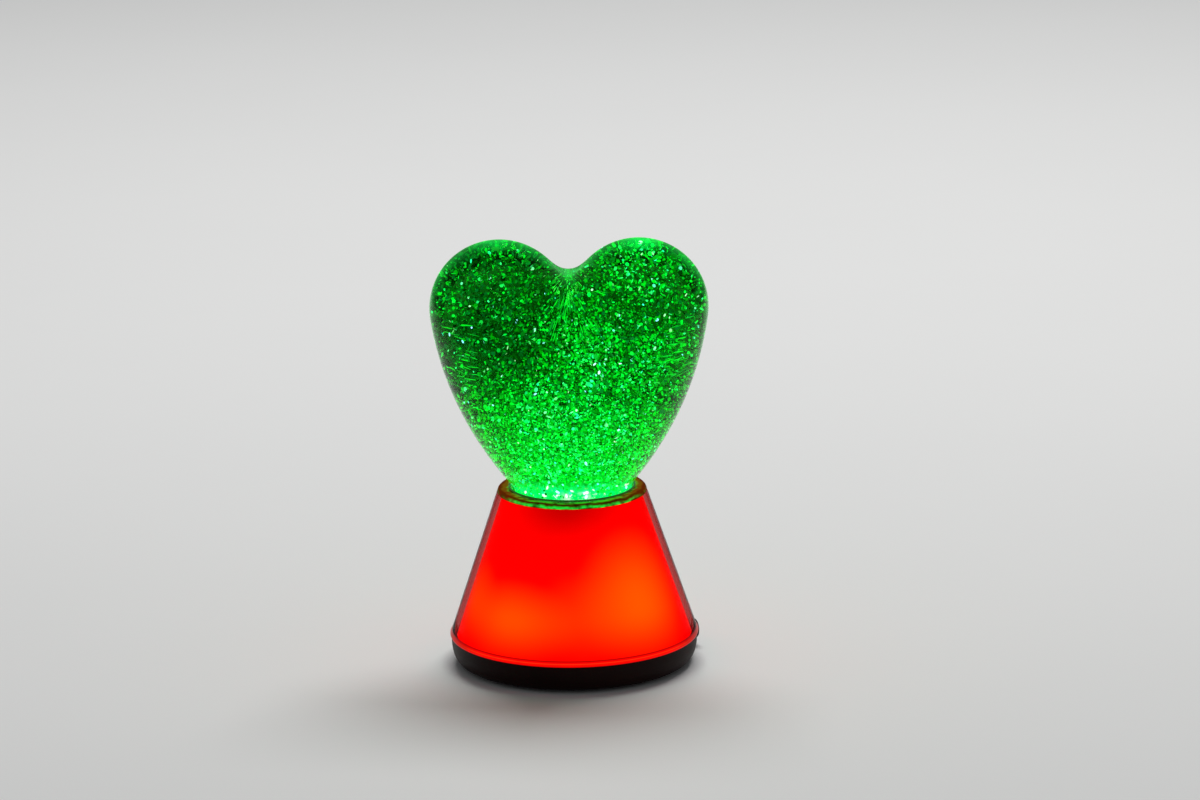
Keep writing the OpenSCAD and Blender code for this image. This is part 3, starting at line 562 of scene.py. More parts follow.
# each flake takes its own place on the map, by its tone along U and its hue along V
def mapFlakes(mesh, verts, perFlake, looks, s):
    uv = mesh.uv_layers.new(name="OFBake")
    for poly in mesh.polygons:
        tone, hue = looks[poly.index // perFlake]
        col = min(s["tones"] - 1, int(tone * s["tones"]))
        row = min(s["hues"] - 1, int(hue * s["hues"]))
        for loop in poly.loop_indices:
            v = verts[mesh.loops[loop].vertex_index % len(verts)]
            spread = s["mapTop"] if v.z > 0 else s["mapBack"]
            along, up = col + 0.5 + spread * v.x, row + 0.5 + spread * v.y
            uv.data[loop].uv = (along / s["tones"], up / s["hues"])


# each pick gives a flake's place, turn, half length and half width
def scatterFlakes(name, count, pick, toneOf, s, rng):
    verts, faces = flakeTemplate(s)
    allVerts, allFaces, looks = [], [], []
    while len(looks) < count:
        found = pick(rng)
        if found is None:
            continue
        p, turn, long, wide = found
        first = len(allVerts)
        allVerts += [p + turn @ Vector((v.x * long, v.y * wide, v.z)) for v in verts]
        allFaces += [[first + i for i in f] for f in faces]
        looks.append((toneOf(p, rng), rng.random()))
    mesh = bpy.data.meshes.new(name)
    mesh.from_pydata([v[:] for v in allVerts], [], allFaces)
    mapFlakes(mesh, verts, len(faces), looks, s)
    mesh.update()
    piece = bpy.data.objects.new(name, mesh)
    bpy.context.scene.collection.objects.link(piece)
    return piece


def glitterFinish(name, s):
    mat, tree, shader, _ = startMaterial(name)
    uv = tree.nodes.new("ShaderNodeUVMap")
    uv.uv_map = "OFBake"
    parts = partsOf(tree, uv.outputs[0])
    green = colourRamp(tree, parts["X"], s["stops"])
    cool = mixColour(tree, 1.0, green, s["cool"], "MULTIPLY")
    colour = mixColour(tree, mapRange(tree, parts["Y"], s["coolFrom"], 1.0, 0.0, 1.0), green, cool)
    addGlow(tree, shader, colour, s["strength"])
    tree.links.new(mixColour(tree, 1.0, colour, s["unlit"], "MULTIPLY"), shader.inputs["Base Color"])
    shader.inputs["Roughness"].default_value = s["rough"]
    shader.inputs["Metallic"].default_value = s["metal"]
    mat.cycles.emission_sampling = "NONE"
    return mat


def makeGlitter(s):
    rng = random.Random(s["seed"])
    lo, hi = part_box("glitter_liquid")

    def sizeIn(radii, rng):
        return radii[0] + (radii[1] - radii[0]) * rng.random() ** 2

    def flakeAt(p, radii, rng):
        r = sizeIn(radii, rng)
        return p, tumble(rng), r, r * rng.uniform(*s["slim"])

    def anywhere(radii):
        def pick(rng):
            p = Vector([rng.uniform(lo[i], hi[i]) for i in range(3)])
            up = (p.z - lo.z) / (hi.z - lo.z)
            if rng.random() > 1.0 - s["thinOut"] * up or not insideHeart(p, s["margin"]):
                return None
            return flakeAt(p, radii, rng)
        return pick

    def neckSpark(rng):
        a, r, long = rng.gauss(*s["sparkTurn"]), rng.uniform(*s["sparkR"]), rng.uniform(*s["sparkLong"])
        p = Vector((r * math.cos(a), r * math.sin(a), rng.uniform(*s["sparkZ"])))
        return p, tumble(rng), long, long * rng.uniform(*s["sparkSlim"])

    def nearBottom(rng):
        if rng.random() < s["sparkChance"]:
            return neckSpark(rng)
        flat = [rng.uniform(lo[i], hi[i]) for i in (0, 1)]
        p = Vector(flat + [s["bedZ"] + s["bedHigh"] * (1 - math.sqrt(rng.random()))])
        r = sizeIn(s["bed"][1], rng)
        return (p, tumble(rng), r, r * rng.uniform(*s["slim"])) if insideHeart(p, s["margin"]) else None

    # a point a little way in from the wall
    def behindWall(start, cast):
        hit, near, normal, _ = heartVessel.ray_cast(start, cast)
        return (near - normal * s["margin"] * s["streakIn"], normal) if hit else None

    # slivers that fan out over and below the notch or lie level near the sides, drawn out by the wall
    def drawnOut(rng):
        face, kind = rng.choice((-1, -1, 1)), rng.random()
        cast = Vector((0, -face, 0))
        if kind < s["fanShare"]:
            fan, half = math.radians(rng.gauss(0, s["fanTurn"])), rng.uniform(*s["fanLong"])
            aside, ahead = math.sin(fan), math.cos(fan)
        if kind < s["overShare"]:
            reach, aside = rng.uniform(*s["overReach"]), s["overAside"] * aside
            middle, way = Vector((reach * aside, face * reach, s["castZ"])), Vector((aside, face * ahead, 0))
            cast = Vector((0, 0, -1))
        elif kind < s["fanShare"]:
            reach = rng.uniform(*s["fanReach"])
            middle = Vector((reach * aside, face * s["castY"], s["notchZ"] - reach * ahead))
            way = Vector((aside, 0, -ahead))
        else:
            side, half = rng.choice((-1, 1)), rng.uniform(*s["sideLong"])
            middle = Vector((side * rng.uniform(*s["sideX"]), face * s["castY"], rng.uniform(*s["sideZ"])))
            way = Vector((1, 0, side * rng.uniform(*s["sideSlope"])))
        ends = [behindWall(middle + k * half * way, cast) for k in (-1, 1)]
        if None in ends:
            return None
        (a, n), (b, _) = ends
        long = (b - a).normalized()
        across = n.cross(long).normalized()
        turn = Matrix((long, across, long.cross(across))).transposed()
        return (a + b) / 2, turn, (b - a).length / 2, rng.uniform(*s["streaks"][1])

    def driftTone(p, rng):
        odd = rng.random()
        if odd < s["oddShare"]:
            flash, more = s["flash"]
            return flash + more * rng.random() if odd < s["oddShare"] / 2 else s["dark"] * rng.random()
        glow = glowAt(p, s)
        low, more = s["driftTone"]
        bend = s["driftBend"] * glow
        tone = glow * (low + bend + (more - bend) * rng.random()) + s["driftLift"]
        return max(0.0, min(s["driftMost"], tone))

    def hazeTone(p, rng):
        low, more = s["hazeTone"]
        return glowAt(p, s) ** s["hazePower"] * (low + more * rng.random())

    def bedTone(p, rng):
        # painted light: brightest below the bed's height, then falling upwards and to the sides
        if p.z < s["bedZ"]:
            return s["most"]
        low, more = s["bedTone"]
        lift = min(1.0, (p.z - s["bedZ"]) / s["bedRise"])
        aside = min(1.0, abs(p.x) / (s["bedHalf"] + s["bedFlare"] * (p.z - s["bedFlareZ"])))
        tone = low - s["bedFall"] * lift + more * rng.random() ** s["bedPower"]
        return tone * (1 - s["bedSide"] * aside ** 3)

    def starTone(p, rng):
        low, more = s["starTone"]
        return min(s["most"], low + more * glowAt(p, s) * rng.random())

    def streakTone(p, rng):
        low, more = s["streakTone"]
        return low + more * rng.random()

    finish = glitterFinish("glitterFilm", s)
    for name, kind, pick, toneOf in (("glitterDrift", "drift", anywhere(s["drift"][1]), driftTone),
                                     ("glitterDust", "dust", anywhere(s["dust"][1]), driftTone),
                                     ("glitterHaze", "haze", anywhere(s["haze"][1]), hazeTone),
                                     ("glitterBed", "bed", nearBottom, bedTone),
                                     ("glitterStars", "stars", anywhere(s["stars"][1]), starTone),
                                     ("glitterStreaks", "streaks", drawnOut, streakTone)):
        piece = scatterFlakes(name, s[kind][0], pick, toneOf, s, rng)
        dress(piece, finish, "base", "flake_film", "glitter_flakes")


makeGlitter(glitterSet)


# light pool: the lit liquid over the plug, seen as a bright band at the neck

poolSet = {
    "r": 0.0238, "low": 0.0822, "rim": 0.0850, "top": 0.0858, "wallTop": 0.0932, "wall": 0.0005,
    "bevel": (0.001, 0.0006), "steps": 96, "strength": 1.3, "rough": 0.4, "patchScale": 220.0,
    "fineScale": 900.0,
    "greens": ((0.0, 0.9, 0.07), (0.0, 1.0, 0.36)), "fleck": (1.0, 1.0, 0.95), "core": (1.0, 1.0, 0.97),
    "coreAt": (0.002, -0.022, 0.0845), "coreSpread": (0.012, 0.008, 0.006),
    "edge": (0.0, 0.42, 0.03), "edgeLow": 0.0042, "edgeHigh": 0.0002, "ragged": 0.0016,
}


def poolFinish(s):
    mat, tree, shader, place = startMaterial("poolGlow")
    patch = noiseNode(tree, place, s["patchScale"], 3.0)
    fine = noiseNode(tree, place, s["fineScale"], 2.0)
    colour = mixColour(tree, mapRange(tree, patch, 0.35, 0.65, 0.0, 1.0), *s["greens"])
    # white flecks: settled glitter with a painted sparkle
    colour = mixColour(tree, mapRange(tree, fine, 0.64, 0.72, 0.0, 1.0), colour, s["fleck"])
    core = spotMask(tree, place, s["coreAt"], s["coreSpread"])
    core = times(tree, core, mapRange(tree, patch, 0.5, 0.6, 0.0, 1.0))
    colour = mixColour(tree, core, colour, s["core"])
    # ragged upper edge where the glow meets the glitter
    wander = mapRange(tree, fine, 0.3, 0.7, -s["ragged"], s["ragged"])
    height = mathNode(tree, "ADD", partsOf(tree, place)["Z"], wander)
    climb = mapRange(tree, height, s["rim"] + s["edgeLow"], s["wallTop"] - s["edgeHigh"], 0.0, 1.0, True)
    colour = mixColour(tree, climb, colour, s["edge"])
    addGlow(tree, shader, colour, s["strength"])
    tree.links.new(colour, shader.inputs["Base Color"])
    shader.inputs["Roughness"].default_value = s["rough"]
    return mat


def makePool(s):
    r, inner, (bevelR, bevelZ) = s["r"], s["r"] - s["wall"], s["bevel"]
    low, rim, top = s["low"], s["rim"], s["wallTop"]
    points = [(0, low), (r - bevelR, low), (r, low + bevelZ), (r, rim), (r, top), (inner, top)]
    for degrees in range(0, 90, 10):
        a = math.radians(degrees)
        points.append((inner * math.cos(a), rim + (s["top"] - rim) * math.sin(a)))
    piece = turnProfile("lightPool", points + [(0, s["top"])], s["steps"])
    smoothBy(piece, 50)
    dress(piece, poolFinish(s), "base", "liquid_green")


makePool(poolSet)


# cone: diffuser inside, clear cover with its collar outside

coneSet = {
    "bottomR": 0.0585, "topR": 0.0345, "lowZ": 0.0135, "highZ": 0.085, "wall": 0.0026, "gap": 0.0005,
    "collarT": 0.002, "holeR": 0.0288, "steps": 160,
}


def coneRadius(s, z, inset):
    slope = (s["bottomR"] - s["topR"]) / (s["highZ"] - s["lowZ"])
    return s["bottomR"] - slope * (z - s["lowZ"]) - inset * math.sqrt(1 + slope * slope)


# points up or down the cone's slope
def coneLine(s, z0, z1, inset, count):
    heights = [z0 + (z1 - z0) * i / count for i in range(count + 1)]
    return [(coneRadius(s, z, inset), z) for z in heights]


diffuserSet = {
    "wall": 0.002, "edge": 0.0005, "topGap": 0.0003, "rows": 12, "glow": 1.3, "level": 0.02, "ior": 1.15,
    "reds": ((1.0, 0.0, 0.0), (0.88, 0.0, 0.0)), "slowScale": 28.0,
    # shade under the collar, and the warm spots where the lights sit: azimuth, z, spread, power
    "shade": (0.4, 0.0, 0.0), "shadeAt": (-0.004, -0.033, 0.083), "shadeSpread": (0.036, 0.024, 0.018),
    "shadeShare": 0.85, "warm": (1.0, 0.135, 0.0), "footZ": (0.007, 0.035),
    "spots": [(42, 0.038, (0.036, 0.034, 0.040), 1.0), (-37, 0.0295, (0.040, 0.034, 0.0225), 0.76),
              (-72, 0.034, (0.020, 0.022, 0.024), 0.5), (8, 0.033, (0.030, 0.024, 0.027), 0.27),
              (135, 0.036, (0.030, 0.030, 0.038), 0.85), (-135, 0.034, (0.030, 0.030, 0.034), 0.8)],
    # red base tints: painted red light in the white diffuser
    "paintedBaseTint": ((0.42, 0.002, 0.001), (0.34, 0.002, 0.001)), "rough": (0.5, 0.65), "bump": 0.1,
}


def diffuserFinish(cone, s):
    mat, tree, shader, place = startMaterial("diffuserRed")
    slow = noiseNode(tree, place, s["slowScale"], 2.0)
    colour = mixColour(tree, mapRange(tree, slow, 0.3, 0.7, 0.0, 1.0), *s["reds"])
    shade = times(tree, spotMask(tree, place, s["shadeAt"], s["shadeSpread"]), s["shadeShare"])
    colour = mixColour(tree, shade, colour, s["shade"])
    foot = mapRange(tree, partsOf(tree, place)["Z"], *s["footZ"], 0.0, 1.0, True)
    for azimuth, z, spread, power in s["spots"]:
        r, a = coneRadius(cone, z, cone["wall"] + cone["gap"]), math.radians(azimuth)
        spot = spotMask(tree, place, (r * math.sin(a), -r * math.cos(a), z), spread)
        colour = mixColour(tree, times(tree, times(tree, spot, foot), power), colour, s["warm"])
    addGlow(tree, shader, colour, s["glow"])
    shader.inputs["Specular IOR Level"].default_value = s["level"]
    shader.inputs["IOR"].default_value = s["ior"]
    # base colour is painted red light in the white diffuser, with grain
    height = layGrain(tree, shader, place, s["paintedBaseTint"], s["rough"])
    addBump(tree, shader, height, s["bump"], bumpSet["grain"])
    return mat


def makeDiffuser(cone, s):
    z0, z1, e = cone["lowZ"], cone["highZ"] - cone["collarT"] - s["topGap"], s["edge"]
    outer = cone["wall"] + cone["gap"]
    inner = outer + s["wall"]
    points = [(coneRadius(cone, z0, outer) - e, z0)] + coneLine(cone, z0 + e, z1 - e, outer, s["rows"])
    points += [(coneRadius(cone, z1, outer) - e, z1)] + coneLine(cone, z1, z0, inner, 1)
    piece = turnProfile("diffuserCone", points + points[:1], cone["steps"])
    smoothBy(piece, 40)
    dress(piece, diffuserFinish(cone, s), "base", "diffuser_red", "diffuser")


coverSet = {
    "round": 0.0018, "lip": 0.0009, "lipH": 0.003, "holeEdge": 0.0006, "underEdge": 0.0004,
    "rows": 12, "innerRows": 8, "hair": 0.0001,
    # reddish tint, absorption and mirror colour: painted red light and shade from the diffuser in the clear
    # cover
    "tint": (0.94, 0.88, 0.87), "ior": 1.035, "wave": 0.004, "waveScale": 40.0,
    "absorb": (0.80, 0.08, 0.06), "density": 165.0, "mirror": (1.0, 0.1, 0.08),
}


def coverPoints(cone, s):
    z0, z1, wall, lip = cone["lowZ"], cone["highZ"], cone["wall"], s["lip"]
    under, hole, edge = z1 - cone["collarT"], s["holeEdge"], s["underEdge"]
    lean = math.atan((cone["bottomR"] - cone["topR"]) / (z1 - z0))
    degrees = math.degrees(lean)
    points = [(coneRadius(cone, z0, wall), z0)]
    points += arcPoints(cone["bottomR"] - lip, z0 + lip, lip, -90, degrees, 6)
    points += coneLine(cone, z0 + s["lipH"], under, 0, s["rows"])
    cornerR = cone["topR"] - s["round"] * (1 - math.sin(lean)) / math.cos(lean)
    points += arcPoints(cornerR, z1 - s["round"], s["round"], degrees, 90, 8)  # collar's outer edge
    points += arcPoints(cone["holeR"] + hole, z1 - hole, hole, 90, 180, 4)
    points += [(cone["holeR"], under)]
    points += arcPoints(coneRadius(cone, under, wall) - edge, under - edge, edge, 90, 20, 4)
    return points + coneLine(cone, under, z0, wall, s["innerRows"])[1:]


def makeCover(cone, s):
    piece = turnProfile("clearCover", coverPoints(cone, s), cone["steps"])
    smoothBy(piece, 40)
    dress(piece, clearFinish("coverClear", s), "base", "cover_clear", "clear_cover")
    piece.data.materials.append(collarFinish(cone, collarSet))
    piece.data.materials.append(lipFinish(cone["lowZ"], s["lipH"], lipSet))
    collarZ, lipZ = cone["highZ"] - cone["collarT"] - s["hair"], cone["lowZ"] + s["lipH"]
    for face in piece.data.polygons:
        z = face.center.z
        face.material_index = 1 if z > collarZ else 2 if z < lipZ else 0


lipSet = {
    # painted red light up the lip: dim at its foot, a painted orange highlight line halfway up, painted shade
    # along its upper line
    "stops": [(0.0, (0.35, 0, 0)), (0.15, (0.95, 0, 0)), (0.45, (0.95, 0.004, 0)), (0.55, (1.0, 0.03, 0.004)),
              (0.65, (0.95, 0, 0)), (0.82, (0.9, 0, 0)), (0.92, (0.3, 0, 0)), (1.0, (0.8, 0, 0))],
    "ends": (0.008, 0.046, 0.36, 1.1), "patchScale": 120.0, "patch": (0.3, 0.7, 0.85, 1.1), "glow": 1.0,
    # dark red base: painted red light in the clear cover's foot
    "paintedBaseTint": ((0.06, 0.002, 0.002), (0.08, 0.003, 0.002)), "rough": (0.15, 0.3), "ior": 1.1,
}


# the foot of the cover's wall gathers red light, painted as glow on a dark red base that is painted red light
# too; dimmer at its ends and along its upper line, with a painted orange highlight line halfway up
def lipFinish(lowZ, lipH, s):
    mat, tree, shader, place = startMaterial("lipLit")
    parts = partsOf(tree, place)
    red = colourRamp(tree, mapRange(tree, parts["Z"], lowZ, lowZ + lipH, 0.0, 1.0), s["stops"])
    ends = mapRange(tree, mathNode(tree, "ABSOLUTE", parts["Y"]), *s["ends"], True)
    patch = mapRange(tree, noiseNode(tree, place, s["patchScale"], 2.0), *s["patch"])
    addGlow(tree, shader, mixColour(tree, times(tree, ends, patch), (0, 0, 0), red), s["glow"])
    layGrain(tree, shader, place, s["paintedBaseTint"], s["rough"])
    shader.inputs["IOR"].default_value = s["ior"]
    return mat


collarSet = {
    # colours of the painted light across the collar, from its hole over the top and down its side
    "across": 0.0084, "wanderScale": 150.0, "wander": 0.0008,
    "olives": [(0.0, (0.02, 0.002, 0.0)), (0.12, (0.02, 0.004, 0.0)), (0.2, (0.13, 0.026, 0.001)),
               (0.42, (0.18, 0.05, 0.001)), (0.55, (0.10, 0.010, 0.0)), (0.66, (0.11, 0.02, 0.0)),
               (0.84, (0.07, 0.008, 0.0)), (1.0, (0.12, 0.004, 0.0))],
    "greens": [(0.04, (0, 0.01, 0)), (0.14, (0.0, 0.42, 0.02)), (0.34, (0.0, 0.72, 0.015)),
               (0.5, (0.02, 0.20, 0.0)), (0.61, (0.03, 0.01, 0.0)), (0.7, (0.03, 0.012, 0.0)),
               (0.79, (0.0, 0.5, 0.02)), (0.88, (0.0, 0.95, 0.06)), (0.95, (0.0, 0.5, 0.03)),
               (1.0, (0.02, 0.02, 0))],
    "ends": (0.012, 0.033, 0.06, 1.0), "byNeck": (0.10, 0.34, 0.6, 0.0), "patchScale": 240.0,
    "patch": (0.38, 0.62, 0.22, 1.5), "fleckScale": 330.0, "fleck": (0.48, 0.62, 0.0, 0.7),
    "fleckColour": (0.16, 0.008, 0.0), "litShare": 0.9, "litBrown": (0.004, 0.003, 0.0), "glow": 0.9,
    # near-black base: painted shade in the clear collar
    "paintedBaseTint": ((0.008, 0.006, 0.001), (0.013, 0.007, 0.0015)), "rough": (0.12, 0.25), "level": 0.03,
    "ior": 1.08,
}


# the collar is lit through the neck: painted rings of green light over dim olive light with reddish flecks,
# brightest at its front and back edges, on a near-black base that is painted shade
def collarFinish(cone, s):
    mat, tree, shader, place = startMaterial("collarLit")
    parts = partsOf(tree, place)
    slow = noiseNode(tree, place, s["wanderScale"], 2.0)
    wander = mapRange(tree, slow, 0.3, 0.7, -s["wander"], s["wander"])
    across = mathNode(tree, "SUBTRACT", mathNode(tree, "ADD", fromAxis(tree, parts), wander), parts["Z"])
    start = cone["holeR"] - cone["highZ"]
    out = mapRange(tree, across, start, start + s["across"], 0.0, 1.0)
    front = mapRange(tree, mathNode(tree, "ABSOLUTE", parts["Y"]), *s["ends"], True)
    patch = mapRange(tree, noiseNode(tree, place, s["patchScale"], 3.0), *s["patch"])
    byNeck = mapRange(tree, out, *s["byNeck"], True)
    share = times(tree, mathNode(tree, "MAXIMUM", front, byNeck), patch)
    lit = mixColour(tree, share, (0, 0, 0), colourRamp(tree, out, s["greens"]))
    fleck = mapRange(tree, noiseNode(tree, place, s["fleckScale"], 2.0), *s["fleck"], True)
    brown = mixColour(tree, fleck, colourRamp(tree, out, s["olives"]), s["fleckColour"])
    brown = mixColour(tree, times(tree, front, s["litShare"]), brown, s["litBrown"])
    addGlow(tree, shader, mixColour(tree, 1.0, brown, lit, "ADD"), s["glow"])
    layGrain(tree, shader, place, s["paintedBaseTint"], s["rough"])
    shader.inputs["Specular IOR Level"].default_value = s["level"]
    shader.inputs["IOR"].default_value = s["ior"]
    return mat


makeDiffuser(coneSet, diffuserSet)
makeCover(coneSet, coverSet)


# soft ring that seals the neck to the collar

ringSet = {
    "r": 0.0293, "section": 0.0005, "z": 0.0855, "around": 128, "across": 14, "squash": 0.94,
    # painted green light from the neck, sparkling, dimmer outside the ring's middle, on a dark green base
    # that is painted too
    "sparkScale": 420.0, "greens": ((0.0, 0.07, 0.006), (0.0, 0.30, 0.03)), "outer": (0.008, 0.07, 0.004),
    "turnAt": 0.0002, "glow": 0.9, "base": (0.008, 0.03, 0.006), "rough": 0.18,
}


# the clear ring is painted with the neck's green light; its outer side is painted shade
def ringFinish(s):
    mat, tree, shader, place = startMaterial("ringLit")
    spark = noiseNode(tree, place, s["sparkScale"], 3.0)
    reach = fromAxis(tree, partsOf(tree, place))
    colour = mixColour(tree, mapRange(tree, spark, 0.4, 0.66, 0.0, 1.0), *s["greens"])
    outside = mapRange(tree, reach, s["r"] - s["turnAt"], s["r"] + s["turnAt"], 0.0, 1.0, True)
    addGlow(tree, shader, mixColour(tree, outside, colour, s["outer"]), s["glow"])
    shader.inputs["Base Color"].default_value = (*s["base"], 1)
    shader.inputs["Roughness"].default_value = s["rough"]
    return mat


def makeNeckRing(s):
    clearSelection()
    bpy.ops.mesh.primitive_torus_add(major_segments=s["around"], minor_segments=s["across"],
                                     major_radius=s["r"], minor_radius=s["section"], location=(0, 0, s["z"]))
    piece = nameNew("neckRing")
    bpy.ops.object.mode_set(mode="EDIT")
    bpy.ops.mesh.select_all(action="SELECT")
    bpy.ops.transform.resize(value=(1, 1, s["squash"]), center_override=(0, 0, s["z"]))
    bpy.ops.object.mode_set(mode="OBJECT")
    bakePlace(piece)
    smoothBy(piece, 60)
    dress(piece, ringFinish(s), "base", "gasket_clear", "neck_gasket")


makeNeckRing(ringSet)


# push button: a dished cap on its stem

buttonSet = {
    "angle": 22.5, "z": 0.0075, "r": 0.0047, "capLong": 0.0098, "stemR": 0.002, "dish": 0.0007,
    "edge": 0.0009, "land": 0.0004, "landDrop": 0.00005, "dishSteps": 6, "steps": 64,
    "tints": ((0.006, 0.003, 0.003), (0.009, 0.005, 0.004)), "rough": (0.42, 0.55), "grit": 2600.0,
    "level": 0.1,
}


def makeButton(s):
    a = math.radians(s["angle"])
    along = [v.co.x * math.cos(a) + v.co.y * math.sin(a) for v in nodes["power_button"].data.vertices]
    stemBack, faceAt = min(along), max(along)
    capBack = faceAt - s["capLong"]
    r, e, count = s["r"], s["edge"], s["dishSteps"]
    dishR = r - e - s["land"]
    points = [(0, stemBack), (s["stemR"], stemBack), (s["stemR"], capBack), (r, capBack), (r, faceAt - e)]
    points += arcPoints(r - e, faceAt - e, e, 0, 90, 6)[1:]
    points += [(dishR, faceAt - s["landDrop"])]
    for i in range(1, count + 1):
        points.append((dishR * (1 - i / count), faceAt - s["dish"] * math.sin(math.pi / 2 * i / count)))
    piece = turnProfile("powerButton", points, s["steps"])
    tip = Matrix.Rotation(a, 4, "Z") @ Matrix.Rotation(math.pi / 2, 4, "Y")
    piece.matrix_world = Matrix.Translation((0, 0, s["z"])) @ tip
    bakePlace(piece)
    smoothBy(piece, 35)
    black = grainFinish("buttonBlack", *s["tints"], s["rough"], grit=s["grit"], level=s["level"])
    dress(piece, black, "button", "button_black", "power_button")


makeButton(buttonSet)


# finishes of the CAD nodes that stay as they are

# two tints, roughness, then blotch scale, grit scale, bump, metallic and shine
finishSet = {
    # the tray's black plastic has a faint red cast, painted red light from the glowing cone
    "trayBlackRedCast": ((0.010, 0.003, 0.0025), (0.014, 0.005, 0.004), (0.38, 0.52), 45.0, 2400.0, 0.1, 0.0, 0.07),
    "bayBlack": ((0.03, 0.03, 0.032), (0.04, 0.04, 0.042), (0.4, 0.55)),
    "towerWhite": ((0.82, 0.82, 0.79), (0.76, 0.76, 0.73), (0.35, 0.5)),
    "footRubber": ((0.03, 0.03, 0.032), (0.05, 0.05, 0.05), (0.75, 0.9), 120.0, 3000.0, 0.3),
    "sealRubber": ((0.05, 0.05, 0.055), (0.07, 0.07, 0.07), (0.6, 0.75), 120.0, 3000.0, 0.2),
    "motorSteel": ((0.62, 0.62, 0.63), (0.5, 0.5, 0.52), (0.25, 0.42), 90.0, 2600.0, 0.08, 1.0),
    "screwSteel": ((0.45, 0.45, 0.46), (0.36, 0.36, 0.37), (0.25, 0.45), 200.0, 3000.0, 0.1, 1.0),
    "contactNickel": ((0.72, 0.70, 0.66), (0.62, 0.6, 0.56), (0.18, 0.32), 150.0, 3000.0, 0.06, 1.0),
    "cellWrap": ((0.10, 0.11, 0.13), (0.14, 0.15, 0.17), (0.25, 0.35), 80.0, 2000.0, 0.04),
    "wireRed": ((0.5, 0.02, 0.02), (0.42, 0.02, 0.02), (0.35, 0.5), 200.0, 2500.0, 0.08),
    "boardGreen": ((0.02, 0.16, 0.07), (0.03, 0.22, 0.1), (0.28, 0.42), 240.0, 1200.0, 0.1),
}
plugSet = {"tint": (0.9, 1.0, 0.95), "ior": 1.46, "wave": 0.02, "waveScale": 60.0}
lightSet = {
    "patchScale": 500.0, "strength": 1.5, "rough": 0.15,
    "red": ((0.7, 0.02, 0.01), (1.0, 0.15, 0.03)), "green": ((0.02, 0.7, 0.2), (0.2, 1.0, 0.5)),
}


def lightFinish(name, tint, glow, s):
    mat, tree, shader, place = startMaterial(name)
    patch = noiseNode(tree, place, s["patchScale"], 2.0)
    tree.links.new(mixColour(tree, patch, tint, glow), shader.inputs["Base Color"])
    addGlow(tree, shader, mixColour(tree, patch, glow, tint), s["strength"])
    shader.inputs["Roughness"].default_value = s["rough"]
    return mat


finishes = {name: grainFinish(name, *look) for name, look in finishSet.items()}
finishes["plugClear"] = clearFinish("plugClear", plugSet)
finishes["redLight"] = lightFinish("redLight", *lightSet["red"], lightSet)
finishes["greenLight"] = lightFinish("greenLight", *lightSet["green"], lightSet)

nodeFinish = {
    "trayBlackRedCast": ("tray", "battery_door"), "bayBlack": ("battery_bay", "rotor", "switch_body"),
    "towerWhite": ("tower", "motor_plate", "stirrer"), "footRubber": ("foot_pads",),
    "sealRubber": ("plug_seal",),
    "motorSteel": ("motor", "motor_shaft", "stirrer_pin", "stirrer_clip"),
    "screwSteel": ("base_screws", "plate_screws", "motor_screws"),
    "contactNickel": ("contact_springs", "contact_plates", "rotor_magnets", "stirrer_magnets"),
    "cellWrap": ("battery_cells",), "wireRed": ("battery_lead", "switch_lead", "motor_lead", "heart_lead"),
    "boardGreen": ("base_board", "heart_board"), "plugClear": ("plug",),
    "redLight": ("base_leds",), "greenLight": ("heart_leds",),
}
for finishName, nodeNames in nodeFinish.items():
    for name in nodeNames:
        mesh = nodes[name].data
        mesh.materials.clear()
        mesh.materials.append(finishes[finishName])
    print("finish", finishName, "set on", len(nodeNames), "nodes")


# stage, lights and camera

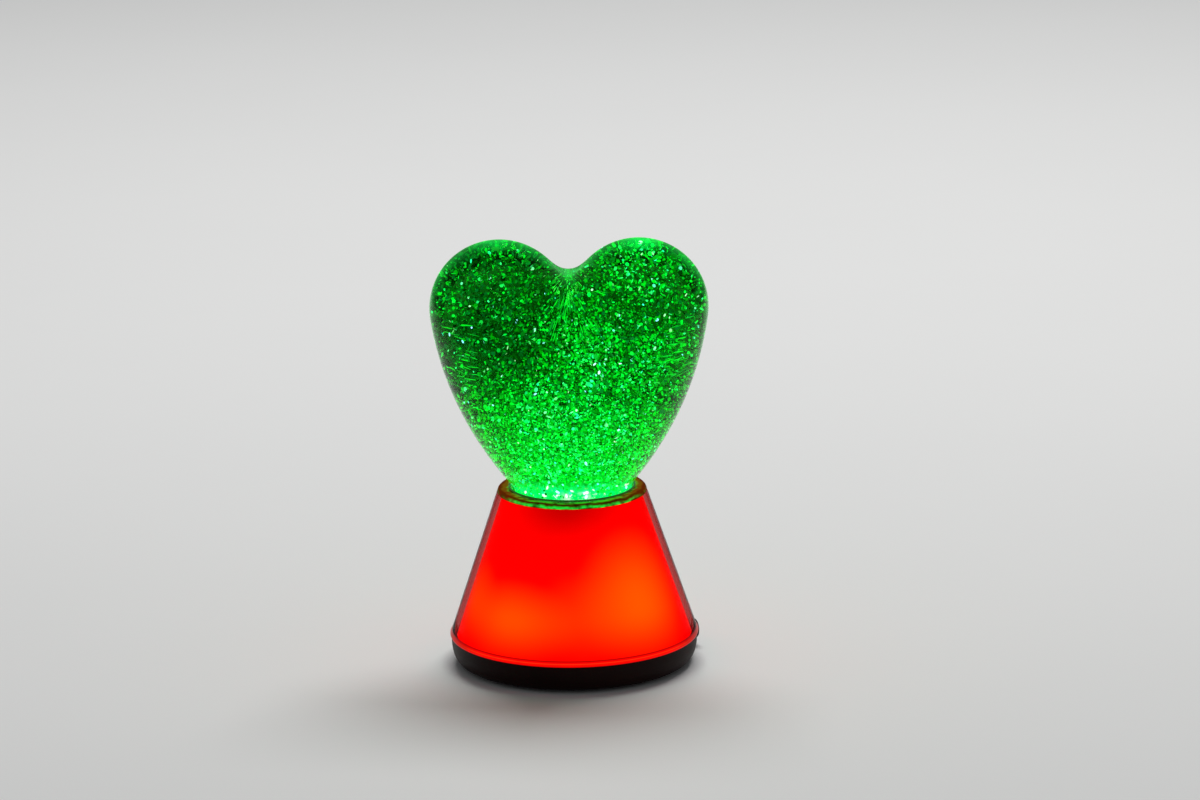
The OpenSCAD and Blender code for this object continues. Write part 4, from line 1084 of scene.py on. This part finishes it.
stageSet = {
    "floor": (0.80, 0.80, 0.79), "floorR": 7.0, "floorSides": 96, "fade": 0.985, "rough": (0.7, 0.8),
    "blotch": 3.0, "grit": 400.0, "level": 0.2, "world": (0.95, 0.97, 1.0), "fill": 0.17,
}
lampSet = {"place": (0.25, 1.1, 2.3), "target": (0, 0, 0.1), "size": (1.8, 1.1), "power": 52.0}
cameraSet = {
    "aim": (0.01376, 0.0, 0.12618), "distance": 2.7, "elevation": 14.36, "roll": -0.88,
    "lens": 173.51, "sensor": 36, "far": 50,
}


def makeStage(s):
    clearSelection()
    bpy.ops.mesh.primitive_circle_add(vertices=s["floorSides"], radius=s["floorR"], fill_type="NGON",
                                      location=(0, 0, 0))
    floor = nameNew("studioFloor")
    mat, tree, shader, place = startMaterial("floorPaper")
    tints = s["floor"], tuple(c * s["fade"] for c in s["floor"])
    layGrain(tree, shader, place, tints, s["rough"], Blotch_Scale=s["blotch"], Grit_Scale=s["grit"])
    shader.inputs["Specular IOR Level"].default_value = s["level"]
    floor.data.materials.append(mat)


def makeWorld(s):
    world = bpy.data.worlds.new("studioWorld")
    bpy.context.scene.world = world
    world.use_nodes = True
    back = world.node_tree.nodes["Background"]
    back.inputs["Color"].default_value = (*s["world"], 1)
    back.inputs["Strength"].default_value = s["fill"]


def addSoftbox(name, s):
    bpy.ops.object.light_add(type="AREA", location=s["place"])
    lamp = bpy.context.object
    lamp.name = name
    lamp.data.shape = "RECTANGLE"
    lamp.data.size, lamp.data.size_y = s["size"]
    lamp.data.energy = s["power"]
    lamp.visible_glossy = False  # no lamp is mirrored in the glass
    lamp.rotation_euler = (Vector(s["target"]) - Vector(s["place"])).to_track_quat("-Z", "Y").to_euler()


def makeCamera(s):
    e = math.radians(s["elevation"])
    aim = Vector(s["aim"])
    place = aim + s["distance"] * Vector((0, -math.cos(e), math.sin(e)))
    bpy.ops.object.camera_add(location=place)
    camera = bpy.context.object
    camera.data.lens = s["lens"]
    camera.data.sensor_width = s["sensor"]
    camera.data.clip_end = s["far"]
    look = (aim - place).to_track_quat("-Z", "Y").to_matrix().to_4x4()
    camera.matrix_world = Matrix.Translation(place) @ look @ Matrix.Rotation(math.radians(s["roll"]), 4, "Z")
    bpy.context.scene.camera = camera


clearSelection()
makeStage(stageSet)
makeWorld(stageSet)
addSoftbox("overLight", lampSet)
makeCamera(cameraSet)
bpy.context.scene.view_settings.view_transform = "Standard"
print("stage, lights and camera set")
